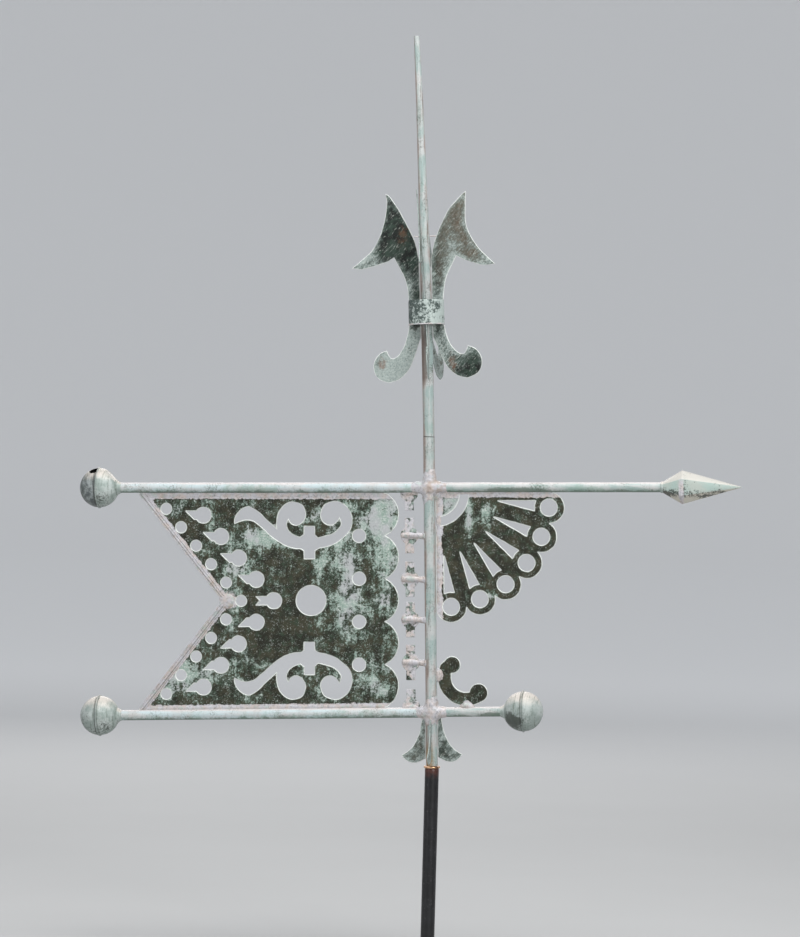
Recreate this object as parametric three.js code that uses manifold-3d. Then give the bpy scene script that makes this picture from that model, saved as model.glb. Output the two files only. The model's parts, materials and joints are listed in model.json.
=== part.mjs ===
// Banner weathervane of soldered sheet copper on an iron pole.
// Millimetres, Z up, X towards the arrowhead, the front faces -Y, origin at the pole's foot.
// The vane is drawn in its own frame: x as above, heights measured up from its seat on the pole.
import * as THREE from 'three';
import { mergeVertices } from 'three/addons/utils/BufferGeometryUtils.js';
import Module from 'manifold-3d';

const wasm = await Module();
wasm.setup();

const degrees = (angle) => THREE.MathUtils.degToRad(angle);

// Sheet, wire and clearances
const gap = 0.3;
const seatGap = 0.6;
const sheet = 2;
const leafSheet = 1.6;
const stripWall = 1.1;
const ballWall = 1.6;

// Pole, bearing ring, and how the vane sits on them
const pole = { length: 353.4, radius: 12.6, chamfer: 1, spindleRadius: 6, spindleLength: 50 };
const bearing = { radius: 14.7, height: 3.4 };
const seatHeight = pole.length + gap + bearing.height + seatGap;
const vaneLean = degrees(1.55);

// Mast and spire
const mast = { radius: 10.4, wall: 1.7, length: 591, lean: degrees(0.55) };
const spire = { length: 721, straight: 245, radius: 10.2, tipRadius: 5.1, wall: 1.4 };
const spireCurve = { slope: 0.01493, bend: 2.2e-5, rings: 10 };

// Arms: height on the mast and slope up towards the arrow
const topArm = { height: 500, slope: degrees(0.1), leftRadius: 9.3, rightRadius: 8.8 };
const bottomArm = { height: 96, slope: degrees(1.2), leftRadius: 9.3, rightRadius: 8.8 };
const ball = { radius: 35.7, lip: 1.2, lipThickness: 0.9, socketDepth: 3 };
const topBallX = -614.5;
const bottomBallX = -613.8;
const rightBallX = 165.4;
const arrow = { neckX: 414.8, neckRadius: 9.6, rearLength: 35.2, pointLength: 107.9 };
const arrowSection = { radius: 30.2, sides: 6, flatness: 0.75 };

// Damage to the upper ball: a bite out of its rim and a flattened shoulder
const bite = { x: -4, y: -13, z: 33, radius: 13 };
const dent = { directionX: 0.732, directionZ: 0.681, depth: 4.6, spring: 0.1 };

// Banner: swallow tail to the left, scallops to the right
const banner = { tailX: -543.1, notchX: -385.2, cuspX: -84.5, half: 196.1, scallops: 5, scallopDepth: 24.4 };
const notchStrip = { width: 10.4 };
const smallHoles = { perSide: 5, radius: 9.7, fromNotch: 34.9, stepX: 27.86, stepUp: 33.5 };
const keyholes = { perSide: 4, radius: 14.1, fromNotch: 95.4, stepX: 32.65, stepUp: 38.95 };
const keyTail = { half: 7.2, longSide: 31.7, shortSide: 17 };
const roundel = { fromCusp: 136.6, radius: 26.9 };
const sideHoles = { fromCusp: 48.5, radius: 11.8 };
const scroll = { fromCusp: 139.8, slotHalf: 9.2, slotTop: 134.7, slotBottom: 76.4 };

// Spools between the banner and the mast
const spool = { fromMast: 37, discRadius: 16.3, tabWidth: 16.4, tabReach: 31.8 };
const spoolLifts = [0.5, -0.8, 3.8, 4];
const spoolArm = { radius: 5.4, overlap: 16.3 };

// Fan and gusset in the upper corner, scroll bracket in the lower corner
const fan = { lobes: 6, lobeRing: 207, lobeRadius: 28.5, holeRadius: 14.8, innerRadius: 60.3 };
const fanSlot = { apex: 115, base: 182, halfAngle: degrees(2.8), dip: 1.9 };
const gussetRadius = 45;
const bracket = { x: 63.2, height: 159.3, outer: 51.6, inner: 26.3 };
const upperBlob = { angle: degrees(138.5), reach: 33.3, radius: 15.7 };
const lowerBlob = { angle: degrees(309.3), reach: 35.8, radius: 17 };

// Finial and base leaves
const finialHeight = 814.5;
const collar = { radius: 32.2, wall: 1.6, height: 42.3, clearance: 0.7 };
const leafRoot = { top: 95.5, bottom: -42, clearance: 0.7 };
const brace = { reach: 21.3, height: 137, radius: 1 };
const baseLeaf = { top: 84, bottom: 13 };
const baseLeaves = [['right', 2.7], ['rear', 0], ['left', 0], ['front', 0]];

// Finenesses of round shapes
const tubeSides = 20;
const armSides = 16;
const ballSides = 18;
const ballRings = 6;

const colours = {
  copperTube: { color: 0xa9b7ac, roughness: 0.6, metalness: 0.25 },
  banner: { color: 0x5d6653, roughness: 0.55, metalness: 0.35 },
  leaf: { color: 0x6f8a80, roughness: 0.6, metalness: 0.3 },
  ballGreen: { color: 0x8fb5a0, roughness: 0.6, metalness: 0.25 },
  poleBlack: { color: 0x17181a, roughness: 0.3, metalness: 0.4 },
  brass: { color: 0xb98548, roughness: 0.35, metalness: 0.9 },
};
const materials = Object.fromEntries(
  Object.entries(colours).map(([name, values]) => [name, new THREE.MeshStandardMaterial(values)]),
);

// Turns any closed three.js geometry into a solid, without the slivers at a lathe's poles
function toSolid(geometry) {
  const bare = geometry.clone();
  bare.deleteAttribute('normal');
  bare.deleteAttribute('uv');
  const merged = mergeVertices(bare, 1e-3);
  const corners = merged.index.array;
  const kept = [];
  for (let i = 0; i < corners.length; i += 3) {
    const [a, b, c] = [corners[i], corners[i + 1], corners[i + 2]];
    if (a !== b && b !== c && c !== a) {
      kept.push(a, b, c);
    }
  }
  return new wasm.Manifold(new wasm.Mesh({
    numProp: 3,
    vertProperties: merged.attributes.position.array,
    triVerts: new Uint32Array(kept),
  }));
}

function toGeometry(solid) {
  const { vertProperties, triVerts } = solid.getMesh();
  const geometry = new THREE.BufferGeometry();
  geometry.setAttribute('position', new THREE.BufferAttribute(vertProperties, 3));
  geometry.setIndex(new THREE.BufferAttribute(triVerts, 1));
  return geometry;
}

function cut(geometry, ...tools) {
  const solid = tools.reduce((rest, tool) => rest.subtract(toSolid(tool)), toSolid(geometry));
  return toGeometry(solid);
}

function join(...geometries) {
  const solid = geometries.map(toSolid).reduce((whole, next) => whole.add(next));
  return toGeometry(solid);
}

// Moves every vertex of a geometry by a rule on [x, y, z]
function reshape(geometry, rule) {
  const position = geometry.attributes.position;
  for (let i = 0; i < position.count; i += 1) {
    position.setXYZ(i, ...rule(position.getX(i), position.getY(i), position.getZ(i)));
  }
  return geometry;
}

// Outlines are lists of Vector2: x along the vane, y up
const point = (x, y) => new THREE.Vector2(x, y);
const points = (pairs) => pairs.map(([x, y]) => point(x, y));
const smooth = (pairs, steps) => new THREE.SplineCurve(points(pairs)).getPoints(steps);

function arc(x, y, radius, from, to, steps) {
  return Array.from({ length: steps + 1 }, (_, i) => {
    const angle = from + ((to - from) * i) / steps;
    return point(x + radius * Math.cos(angle), y + radius * Math.sin(angle));
  });
}

const circle = (x, y, radius, sides) => arc(x, y, radius, 0, 2 * Math.PI * (1 - 1 / sides), sides - 1);

function withoutRepeats(outline) {
  const nearby = 0.02;
  const isNew = (p, i, all) => p.distanceTo(all[(i + all.length - 1) % all.length]) > nearby;
  return outline.filter(isNew);
}

// A flat plate of the outline, standing in the vane's plane, with holes cut through
function plate(outline, thickness, holes = []) {
  const rim = withoutRepeats(outline.flat());
  const shape = new THREE.Shape(THREE.ShapeUtils.isClockWise(rim) ? rim.reverse() : rim);
  shape.holes = holes.map((hole) => new THREE.Path(withoutRepeats(hole.flat())));
  const geometry = new THREE.ExtrudeGeometry(shape, { depth: thickness, bevelEnabled: false });
  geometry.translate(0, 0, -thickness / 2);
  geometry.rotateX(Math.PI / 2);
  return geometry;
}

// A turned piece standing on the Z axis, from pairs of radius and height
function turned(pairs, sides) {
  const geometry = new THREE.LatheGeometry(points(pairs), sides);
  geometry.rotateX(Math.PI / 2);
  return geometry;
}

function rod(radius, fromX, toX, sides) {
  const geometry = new THREE.CylinderGeometry(radius, radius, toX - fromX, sides);
  geometry.rotateZ(-Math.PI / 2);
  geometry.translate((fromX + toX) / 2, 0, 0);
  return geometry;
}

function upright(radius, fromZ, toZ, sides) {
  return turned([[0, fromZ], [radius, fromZ], [radius, toZ], [0, toZ]], sides);
}

// The mast leans a little: pieces fixed to it are sheared by the same amount
const mastX = (height) => -Math.tan(mast.lean) * height;
const leanWithMast = (geometry) => reshape(geometry, (x, y, z) => [x + mastX(z), y, z]);

// The spire carries the mast's line on in a slight bow
const spireX = (along) => mastX(mast.length) - spireCurve.slope * along - spireCurve.bend * along ** 2;
const spireSlope = (along) => spireCurve.slope + 2 * spireCurve.bend * along;
const armHeight = (arm, x) => arm.height + Math.tan(arm.slope) * x;

function onArm(arm, geometry) {
  geometry.rotateY(-arm.slope);
  geometry.translate(0, 0, arm.height);
  return geometry;
}

const vane = new THREE.Group();
vane.position.z = seatHeight;
vane.rotation.y = -vaneLean;
const part = new THREE.Group();
part.add(vane);

function add(parent, name, geometry, material) {
  const mesh = new THREE.Mesh(geometry, materials[material]);
  mesh.name = name;
  parent.add(mesh);
  return mesh;
}

// Pole with the spindle that the mast turns on
function poleShape() {
  const { length, radius, chamfer, spindleRadius, spindleLength } = pole;
  const top = length + spindleLength;
  return turned([
    [0, 0],
    [radius, 0],
    [radius, length - chamfer],
    [radius - chamfer, length],
    [spindleRadius, length],
    [spindleRadius, top - chamfer],
    [spindleRadius - chamfer, top],
    [0, top],
  ], tubeSides);
}

function ring(innerRadius, outerRadius, fromZ, toZ, sides) {
  return turned([
    [innerRadius, fromZ],
    [outerRadius, fromZ],
    [outerRadius, toZ],
    [innerRadius, toZ],
    [innerRadius, fromZ],
  ], sides);
}

function bearingShape() {
  const bottom = pole.length + gap;
  return ring(pole.spindleRadius + gap, bearing.radius, bottom, bottom + bearing.height, tubeSides);
}

function mastShape() {
  return leanWithMast(ring(mast.radius - mast.wall, mast.radius, 0, mast.length - gap, tubeSides));
}

// The mast's outline with clearance, to cope what meets it
function mastTool() {
  return leanWithMast(upright(mast.radius + gap, -mast.length, 2 * mast.length, tubeSides));
}

function spireRadius(along) {
  const past = Math.max(0, along - spire.straight) / (spire.length - spire.straight);
  return spire.radius + (spire.tipRadius - spire.radius) * past;
}

function spireShape() {
  const step = spire.length / spireCurve.rings;
  const levels = Array.from({ length: spireCurve.rings + 1 }, (_, i) => step * i);
  const outer = levels.map((z) => [spireRadius(z), z]);
  const inner = levels.map((z) => [spireRadius(z) - spire.wall, z]).reverse();
  const tube = turned([...outer, ...inner, outer[0]], armSides);
  const bowed = reshape(tube, (x, y, z) => [x + spireX(z), y, z + mast.length]);
  const wireHole = onFinial(braceRod(brace.radius + gap, spire.radius + mast.radius));
  return cut(bowed, wireHole);
}

// Arms
function armShape(arm, radius, fromX, toX) {
  return cut(onArm(arm, rod(radius, fromX, toX, armSides)), mastTool());
}

const ballSeat = (radius) => Math.sqrt(ball.radius ** 2 - radius ** 2) - ball.socketDepth;
const topCross = mastX(topArm.height);
const bottomCross = mastX(bottomArm.height);
const topLeftSeat = topBallX + ballSeat(topArm.leftRadius);
const bottomLeftSeat = bottomBallX + ballSeat(bottomArm.leftRadius);
const bottomRightSeat = rightBallX - ballSeat(bottomArm.rightRadius);
const arms = [
  ['arm_top_left', topArm, topArm.leftRadius, topLeftSeat, topCross],
  ['arm_top_right', topArm, topArm.rightRadius, topCross, arrow.neckX - gap],
  ['arm_bottom_left', bottomArm, bottomArm.leftRadius, bottomLeftSeat, bottomCross],
  ['arm_bottom_right', bottomArm, bottomArm.rightRadius, bottomCross, bottomRightSeat],
];

// Arrowhead: two pyramids base to base, a little flattened where they meet
function arrowShape() {
  const { neckX, neckRadius, rearLength, pointLength } = arrow;
  const { radius, sides, flatness } = arrowSection;
  const profile = [[0, 0], [neckRadius, 0], [radius, rearLength], [0, rearLength + pointLength]];
  const geometry = new THREE.LatheGeometry(points(profile), sides);
  geometry.rotateZ(-Math.PI / 2);
  reshape(geometry, (x, y, z) => [neckX + x, x > gap ? flatness * y : y, z]);
  return onArm(topArm, geometry);
}

// Half balls meet in a seam with a thin lip; side is -1 for the half away from +X
function halfBall(side, hollow) {
  const { radius, lip, lipThickness } = ball;
  const seam = gap / 2;
  const dome = (r) => Array.from({ length: ballRings + 1 }, (_, i) => {
    const start = Math.asin(lipThickness / r);
    const angle = start + ((Math.PI / 2 - start) * i) / ballRings;
    return [i === ballRings ? 0 : r * Math.cos(angle), r * Math.sin(angle)];
  });
  const edge = [[radius + lip, seam], [radius + lip, lipThickness], ...dome(radius)];
  const inside = [...dome(radius - ballWall).reverse(), [radius - ballWall, seam]];
  const profile = hollow ? [...edge, ...inside, edge[0]] : [[0, seam], ...edge];
  const geometry = new THREE.LatheGeometry(points(profile), ballSides);
  geometry.rotateZ((-side * Math.PI) / 2);
  return geometry;
}

function dented(geometry) {
  const { directionX, directionZ, depth, spring } = dent;
  return reshape(geometry, (x, y, z) => {
    const outside = Math.hypot(x, y, z) > ball.radius - ballWall / 2;
    const limit = ball.radius - depth - (outside ? 0 : ballWall);
    const past = Math.max(0, x * directionX + z * directionZ - limit) * (1 - spring);
    return [x - past * directionX, y, z - past * directionZ];
  });
}

function ballShape(arm, centreX, side, armSide, broken) {
  let half = halfBall(side, broken);
  if (broken && side !== armSide) {
    const mouth = new THREE.SphereGeometry(bite.radius, 12, 8).translate(bite.x, bite.y, bite.z);
    half = cut(half, mouth);
  }
  if (broken && side === armSide) {
    half = dented(half);
  }
  half.translate(centreX, 0, 0);
  if (side === armSide) {
    const radius = (armSide > 0 ? arm.leftRadius : arm.rightRadius) + gap;
    const seat = ballSeat(radius - gap) - gap;
    const ends = [centreX + armSide * seat, centreX + armSide * 2 * ball.radius];
    half = cut(half, rod(radius, Math.min(...ends), Math.max(...ends), armSides));
  }
  return onArm(arm, half);
}

const balls = [
  ['ball_top_left', topArm, topBallX, 1, true],
  ['ball_bottom_left', bottomArm, bottomBallX, 1, false],
  ['ball_bottom_right', bottomArm, rightBallX, -1, false],
];

// Banner: drawn even about a level centre line with its own half height, then fitted between the two arms
const bannerTop = (x) => armHeight(topArm, x) - topArm.leftRadius - gap;
const bannerBottom = (x) => armHeight(bottomArm, x) + bottomArm.leftRadius + gap;
const bannerMiddle = (x) => (bannerTop(x) + bannerBottom(x)) / 2;
const bannerHalf = (x) => (bannerTop(x) - bannerBottom(x)) / 2;
const { half } = banner;
const fitBetweenArms = (geometry) => reshape(
  geometry,
  (x, y, z) => [x, y, bannerMiddle(x) + (z * bannerHalf(x)) / half],
);
const scallopPitch = (2 * half) / banner.scallops;

const notchRun = banner.notchX - banner.tailX;
const notchSlant = Math.hypot(notchRun, half) / half;
const edgeInset = (stripWall + gap) * notchSlant;

function scallopArc(i) {
  const chord = scallopPitch / 2;
  const depth = banner.scallopDepth;
  const radius = (chord ** 2 + depth ** 2) / (2 * depth);
  const open = Math.asin(chord / radius);
  const centre = half - scallopPitch * (i + 0.5);
  return arc(banner.cuspX + depth - radius, centre, radius, open, -open, 8);
}

function smallHoleRow() {
  const rows = Array.from({ length: 2 * smallHoles.perSide + 1 }, (_, i) => i - smallHoles.perSide);
  return rows.map((row) => circle(
    banner.notchX + smallHoles.fromNotch - smallHoles.stepX * Math.abs(row),
    smallHoles.stepUp * row,
    smallHoles.radius,
    12,
  ));
}

// A round hole with a tail to the left, cut on the slant away from the centre line
function keyhole(row) {
  const x = banner.notchX + keyholes.fromNotch - keyholes.stepX * Math.abs(row);
  const y = keyholes.stepUp * row;
  const open = Math.asin(keyTail.half / keyholes.radius);
  const side = Math.sign(row) || 1;
  const middle = row === 0 ? [point(x - (keyTail.longSide + keyTail.shortSide) / 2, y)] : [];
  const lowerReach = row === 0 ? keyTail.longSide : keyTail.shortSide;
  return [
    arc(x, y, keyholes.radius, side * (Math.PI - open), side * (open - Math.PI), 12),
    [point(x - lowerReach, y - side * keyTail.half)],
    middle,
    [point(x - keyTail.longSide, y + side * keyTail.half)],
  ];
}

function keyholeRow() {
  const rows = Array.from({ length: 2 * keyholes.perSide + 1 }, (_, i) => i - keyholes.perSide);
  return rows.map(keyhole);
}

function sideHoleColumn() {
  const rows = Array.from({ length: banner.scallops - 1 }, (_, i) => half - scallopPitch * (i + 1));
  return rows.map((y) => circle(banner.cuspX - sideHoles.fromCusp, y, sideHoles.radius, 12));
}

// The scrolled cut-out: a hook that runs down into two volutes, with an upright slot between
function scrollCut(side) {
  const { slotHalf, slotTop, slotBottom } = scroll;
  const x = banner.cuspX - scroll.fromCusp;
  const hookTop = [[-137.7, 140.8], [-135, 155], [-116, 171], [-98, 163.8], [-79, 146.4], [-59.2, 129]];
  const leftVolute = [[-59.2, 129], [-59.4, 146], [-54.5, 163], [-43, 175.3], [-27.8, 179.4], [-13, 173]];
  const leftEnd = [[-13, 173], [-7.4, 158.5], [-12, 144.5], [-23, 137.6], [-33.5, 141], [-38.4, 149.5]];
  const leftInside = [[-38.4, 149.5], [-43, 140], [-39.3, 127.3], [-30, 119.5], [-16.9, 114.6]];
  const rightInside = [[15.3, 113.6], [40.9, 120.3], [53.2, 129], [59.3, 140], [54.9, 152.5]];
  const rightEnd = [[54.9, 152.5], [49, 142.5], [38, 137.8], [26, 143], [21, 158], [28, 173]];
  const rightVolute = [[28, 173], [46, 180.6], [66, 172.5], [76.6, 155], [76.5, 134], [69, 122.1]];
  const rightUnder = [[69, 122.1], [53.2, 108.2], [37.3, 100.4], [17.1, 95.5]];
  const hookUnder = [[-15.5, 94.7], [-30, 96.3], [-48, 103], [-70, 117.7], [-88, 134.2], [-102, 144.6]];
  const hookEnd = [[-102, 144.6], [-115, 147.8], [-127, 145.8], [-137.7, 140.8]];
  const shoulder = 120;
  const foot = 90.8;
  const outline = [
    smooth(hookTop, 9),
    smooth(leftVolute, 8),
    smooth(leftEnd, 8),
    smooth(leftInside, 7),
    points([[-slotHalf, shoulder], [-slotHalf, slotTop], [slotHalf, slotTop], [slotHalf, shoulder]]),
    smooth(rightInside, 7),
    smooth(rightEnd, 8),
    smooth(rightVolute, 8),
    smooth(rightUnder, 5),
    points([[slotHalf, foot], [slotHalf, slotBottom], [-slotHalf, slotBottom], [-slotHalf, foot]]),
    smooth(hookUnder, 8),
    smooth(hookEnd, 4),
  ];
  return outline.flat().map((p) => point(x + p.x, side * p.y));
}

function bannerShape() {
  const outline = [
    points([[banner.tailX + edgeInset, half], [banner.cuspX, half]]),
    ...Array.from({ length: banner.scallops }, (_, i) => scallopArc(i)),
    points([[banner.tailX + edgeInset, -half], [banner.notchX + edgeInset, 0]]),
  ];
  const holes = [
    ...smallHoleRow(),
    ...keyholeRow(),
    ...sideHoleColumn(),
    circle(banner.cuspX - roundel.fromCusp, 0, roundel.radius, 24),
    scrollCut(1),
    scrollCut(-1),
  ];
  return fitBetweenArms(plate(outline, sheet, holes));
}

// A folded strip that clasps one slanting edge of the swallow tail
function notchStripShape(side) {
  const inner = notchStrip.width * notchSlant;
  const outline = (near, far) => points([
    [banner.tailX + near, side * half],
    [banner.notchX + near - gap, (side * gap) / 2],
    [banner.notchX + far - gap, (side * gap) / 2],
    [banner.tailX + far, side * half],
  ]);
  const slot = (near, far) => points([
    [banner.tailX + near - notchRun, side * 2 * half],
    [banner.notchX + near + notchRun, -side * half],
    [banner.notchX + far + notchRun, -side * half],
    [banner.tailX + far - notchRun, side * 2 * half],
  ]);
  const body = plate([outline(0, inner)], sheet + 2 * (gap + stripWall));
  const channel = plate([slot(stripWall * notchSlant, 2 * inner)], sheet + 2 * gap);
  return fitBetweenArms(cut(body, channel));
}

// Spools: a disc on an upright tab, nearly level with each cusp of the banner
const spoolX = -spool.fromMast;
const cuspShare = (i) => 1 - (2 * i) / banner.scallops;
const cuspHeight = (i) => bannerMiddle(banner.cuspX) + bannerHalf(banner.cuspX) * cuspShare(i);
const spoolHeight = (i) => cuspHeight(i + 1) + (spoolLifts[i] ?? 0);

function tab(bottom, top) {
  const left = spoolX - spool.tabWidth / 2;
  const right = spoolX + spool.tabWidth / 2;
  return plate([points([[left, bottom], [right, bottom], [right, top], [left, top]])], sheet);
}

function disc(height) {
  return plate([circle(spoolX, height, spool.discRadius, 20)], sheet);
}

function spoolShape(height) {
  return leanWithMast(join(disc(height), tab(height - spool.tabReach, height + spool.tabReach)));
}

function halfSpoolShape(height, side) {
  const ends = [height, height + side * spool.tabReach];
  const arm = side < 0 ? topArm : bottomArm;
  const whole = leanWithMast(join(disc(height), tab(Math.min(...ends), Math.max(...ends))));
  const armThickness = 2 * (arm.leftRadius + gap);
  const armTool = onArm(arm, new THREE.BoxGeometry(2 * spool.fromMast, 2 * mast.radius, armThickness));
  armTool.translate(spoolX, 0, Math.tan(arm.slope) * spoolX);
  const farSide = new THREE.BoxGeometry(2 * spool.fromMast, 2 * mast.radius, 2 * spool.discRadius);
  farSide.translate(spoolX, 0, height - side * (spool.discRadius + arm.leftRadius / 2));
  return cut(whole, armTool, farSide);
}

function spoolArmShape(height) {
  const bar = rod(spoolArm.radius, spoolX - spoolArm.overlap, 0, 12);
  const slotLength = spoolArm.overlap + spool.discRadius + gap;
  const slot = new THREE.BoxGeometry(slotLength, sheet + 2 * gap, 4 * spoolArm.radius);
  slot.translate(spoolX + spool.discRadius + gap - slotLength / 2 + gap, 0, 0);
  const slotted = cut(bar, slot.translate(-gap, 0, 0));
  return cut(leanWithMast(slotted.translate(0, 0, height)), mastTool());
}

// Fan: drawn from the corner of mast and arm, x outwards along the arm, y downwards
const cornerX = mast.radius + gap;
const cornerHeight = topArm.height - topArm.rightRadius - gap;
const inCorner = (outline) => outline.flat().map((p) => point(cornerX + p.x, cornerHeight - p.y)).reverse();

function lobeCentre(i) {
  const angle = ((i + 0.5) * Math.PI) / 2 / fan.lobes;
  return { angle, x: fan.lobeRing * Math.cos(angle), y: fan.lobeRing * Math.sin(angle) };
}

// Each lobe runs from the cusp before it to the cusp after it
function lobe(i) {
  const { angle, x, y } = lobeCentre(i);
  const halfStep = Math.PI / 4 / fan.lobes;
  const halfSpacing = fan.lobeRing * Math.sin(halfStep);
  const sweep = halfStep + Math.asin(halfSpacing / fan.lobeRadius);
  return arc(x, y, fan.lobeRadius, angle - sweep, angle + sweep, 9);
}

// A wedge between two lobes' holes and the middle, its base hollowed round its own hole
function fanWedge(i) {
  const { angle } = lobeCentre(i);
  const polar = (r, a) => point(r * Math.cos(a), r * Math.sin(a));
  const dip = fanSlot.base - fanSlot.dip;
  return [
    [polar(fanSlot.apex, angle)],
    smooth([
      polar(fanSlot.base, angle - fanSlot.halfAngle).toArray(),
      polar(dip, angle).toArray(),
      polar(fanSlot.base, angle + fanSlot.halfAngle).toArray(),
    ], 4),
  ];
}

function fanShape() {
  const lobes = Array.from({ length: fan.lobes }, (_, i) => i);
  const outline = [lobes.map(lobe).flat(), arc(0, 0, fan.innerRadius, Math.PI / 2, 0, 8)];
  const holes = [
    ...lobes.map((i) => circle(lobeCentre(i).x, lobeCentre(i).y, fan.holeRadius, 12)),
    ...lobes.map(fanWedge),
  ];
  return leanFromArm(plate([inCorner(outline)], sheet, holes.map(inCorner)));
}

function gussetShape() {
  return leanFromArm(plate([inCorner([[point(0, 0)], arc(0, 0, gussetRadius, 0, Math.PI / 2, 8)])], sheet));
}

// Follows the mast's lean and the upper arm's slope
function leanFromArm(geometry) {
  return reshape(geometry, (x, y, z) => [x + mastX(z), y, z + Math.tan(topArm.slope) * x]);
}

// Scroll bracket: a bent band between two round ends
function bracketShape() {
  const { x, height, outer, inner } = bracket;
  const easing = degrees(14);
  const blobEdge = upperBlob.reach + upperBlob.radius - gap;
  const band = [
    [point(x + blobEdge * Math.cos(upperBlob.angle), height + blobEdge * Math.sin(upperBlob.angle))],
    arc(x, height, outer, upperBlob.angle + easing, lowerBlob.angle, 16),
    arc(x, height, inner, lowerBlob.angle, upperBlob.angle, 12),
  ];
  const end = ({ angle, reach, radius }) => circle(
    x + reach * Math.cos(angle),
    height + reach * Math.sin(angle),
    radius,
    20,
  );
  const pieces = [band, [end(upperBlob)], [end(lowerBlob)]].map((outline) => plate(outline, sheet));
  return leanWithMast(join(...pieces));
}

// Finial: drawn about the spire's axis with the collar's middle at height 0
const finialAlong = finialHeight - mast.length;
const finialX = spireX(finialAlong);
const finialTilt = Math.atan(spireSlope(finialAlong));

function onFinial(geometry) {
  geometry.rotateY(-finialTilt);
  geometry.translate(finialX, 0, finialHeight);
  return geometry;
}

function braceRod(radius, reach) {
  return rod(radius, -reach, reach, 8).translate(0, 0, brace.height);
}

// A finial leaf: tip and barb above the collar, a curl with a round end below it
function leafShape({ tip, barb, curlLift }) {
  const root = spire.radius + leafRoot.clearance;
  const inCollar = collar.radius - collar.wall - collar.clearance;
  const collarEdge = collar.height / 2 + 1;
  const lift = (pairs) => pairs.map(([x, y]) => [x, y + curlLift]);
  const { reach, height } = brace;
  const innerEdge = [[root, leafRoot.top], [14.8, 116], [reach, height], [43.3, 182], [tip - 8.8, 209.4]];
  const outerEdge = [[tip, 216], [tip - 1.5, 194], [76.8, 153], [96, 115.5], [barb, 84]];
  const underBarb = [[barb, 84], [barb - 21, 81.6], [75, 91.3], [56.6, 100]];
  const upperStalk = [[56.6, 100], [47.6, 82.6], [38.9, 64.8], [34, 46], [31.6, collarEdge + 2]];
  const lowerStalk = [[31.8, -collarEdge - 1], [36, -41], [43.4, -62 + curlLift / 2]];
  const hook = [[53, -75.5], [61, -80.6], [68.5, -78.6], [73.4, -66.5]];
  const bulb = [[73.4, -66.5], [86, -71], [95.6, -82], [99, -95], [96, -109], [86.5, -119.4], [72, -124.4]];
  const foot = leafRoot.bottom - curlLift;
  const belly = [[72, -124.4], [56, -120.6], [42, -111], [30, -94.4], [20.4, -71], [root, foot]];
  return plate([
    smooth(innerEdge, 10),
    smooth(outerEdge, 10),
    smooth(underBarb, 6),
    smooth(upperStalk, 6),
    points([[inCollar, collarEdge], [inCollar, -collarEdge]]),
    smooth([...lowerStalk, ...lift(hook.slice(0, 1))], 5),
    smooth(lift(hook), 5),
    smooth(lift(bulb), 12),
    smooth(lift(belly), 9),
  ], leafSheet);
}

const leaves = [
  { name: 'finial_leaf_right', turn: 0, lean: 0, curlTwist: 0, tip: 77.2, barb: 126.3, curlLift: 5 },
  { name: 'finial_leaf_rear', turn: 90, lean: 1.8, curlTwist: -6, tip: 73, barb: 130, curlLift: 5 },
  { name: 'finial_leaf_left', turn: 180, lean: 0, curlTwist: 0, tip: 69.4, barb: 134, curlLift: 0 },
  { name: 'finial_leaf_front', turn: -84, lean: 2.3, curlTwist: 0, tip: 73, barb: 130, curlLift: 2 },
];

// Below the collar a bent leaf is twisted round the spire
function twistBelowCollar(geometry, angle) {
  const start = -collar.height / 2 - leafRoot.clearance;
  return reshape(geometry, (x, y, z) => {
    const share = THREE.MathUtils.clamp((start - z) / collar.height, 0, 1);
    const turn = angle * share;
    return [x * Math.cos(turn) - y * Math.sin(turn), x * Math.sin(turn) + y * Math.cos(turn), z];
  });
}

function finialLeafShape(leaf) {
  const geometry = leafShape(leaf);
  twistBelowCollar(geometry, degrees(leaf.curlTwist));
  geometry.rotateZ(degrees(leaf.turn));
  geometry.rotateY(-degrees(leaf.lean));
  return onFinial(geometry);
}

function collarShape() {
  const reach = collar.height / 2;
  return onFinial(ring(collar.radius - collar.wall, collar.radius, -reach, reach, tubeSides));
}

// A base leaf below the lower arm, curving out to a point
function baseLeafShape(turn, lift) {
  const root = mast.radius + leafRoot.clearance;
  const outer = [[18, baseLeaf.top], [21, 65], [26.4, 49.5], [33.7, 35.9], [45, 24.6], [56.1, 18.4]];
  const under = [[56.1, 18.4], [49.3, 11], [41, 5.8], [32.6, 4.4], [23.3, 6.6], [root, baseLeaf.bottom]];
  const geometry = plate([smooth(outer, 9), smooth(under, 9), points([[root, baseLeaf.top]])], leafSheet);
  return leanWithMast(geometry.rotateZ(turn).translate(0, 0, lift));
}

add(part, 'pole', poleShape(), 'poleBlack');
add(part, 'pole_ring', bearingShape(), 'brass');
add(vane, 'mast', mastShape(), 'copperTube');
add(vane, 'spire', spireShape(), 'copperTube');
arms.forEach(([name, arm, radius, fromX, toX]) => {
  add(vane, name, armShape(arm, radius, fromX, toX), 'copperTube');
});
add(vane, 'arrowhead', arrowShape(), 'copperTube');
balls.forEach(([name, arm, x, armSide, broken]) => {
  add(vane, `${name}_inner`, ballShape(arm, x, armSide, armSide, broken), 'ballGreen');
  add(vane, `${name}_outer`, ballShape(arm, x, -armSide, armSide, broken), 'ballGreen');
});
add(vane, 'banner_panel', bannerShape(), 'banner');
add(vane, 'notch_strip_upper', notchStripShape(1), 'copperTube');
add(vane, 'notch_strip_lower', notchStripShape(-1), 'copperTube');
for (let i = 0; i < banner.scallops - 1; i += 1) {
  add(vane, `spool_${i + 1}`, spoolShape(spoolHeight(i)), 'copperTube');
  add(vane, `spool_arm_${i + 1}`, spoolArmShape(spoolHeight(i)), 'copperTube');
}
add(vane, 'half_spool_top', halfSpoolShape(bannerTop(spoolX), -1), 'copperTube');
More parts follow.
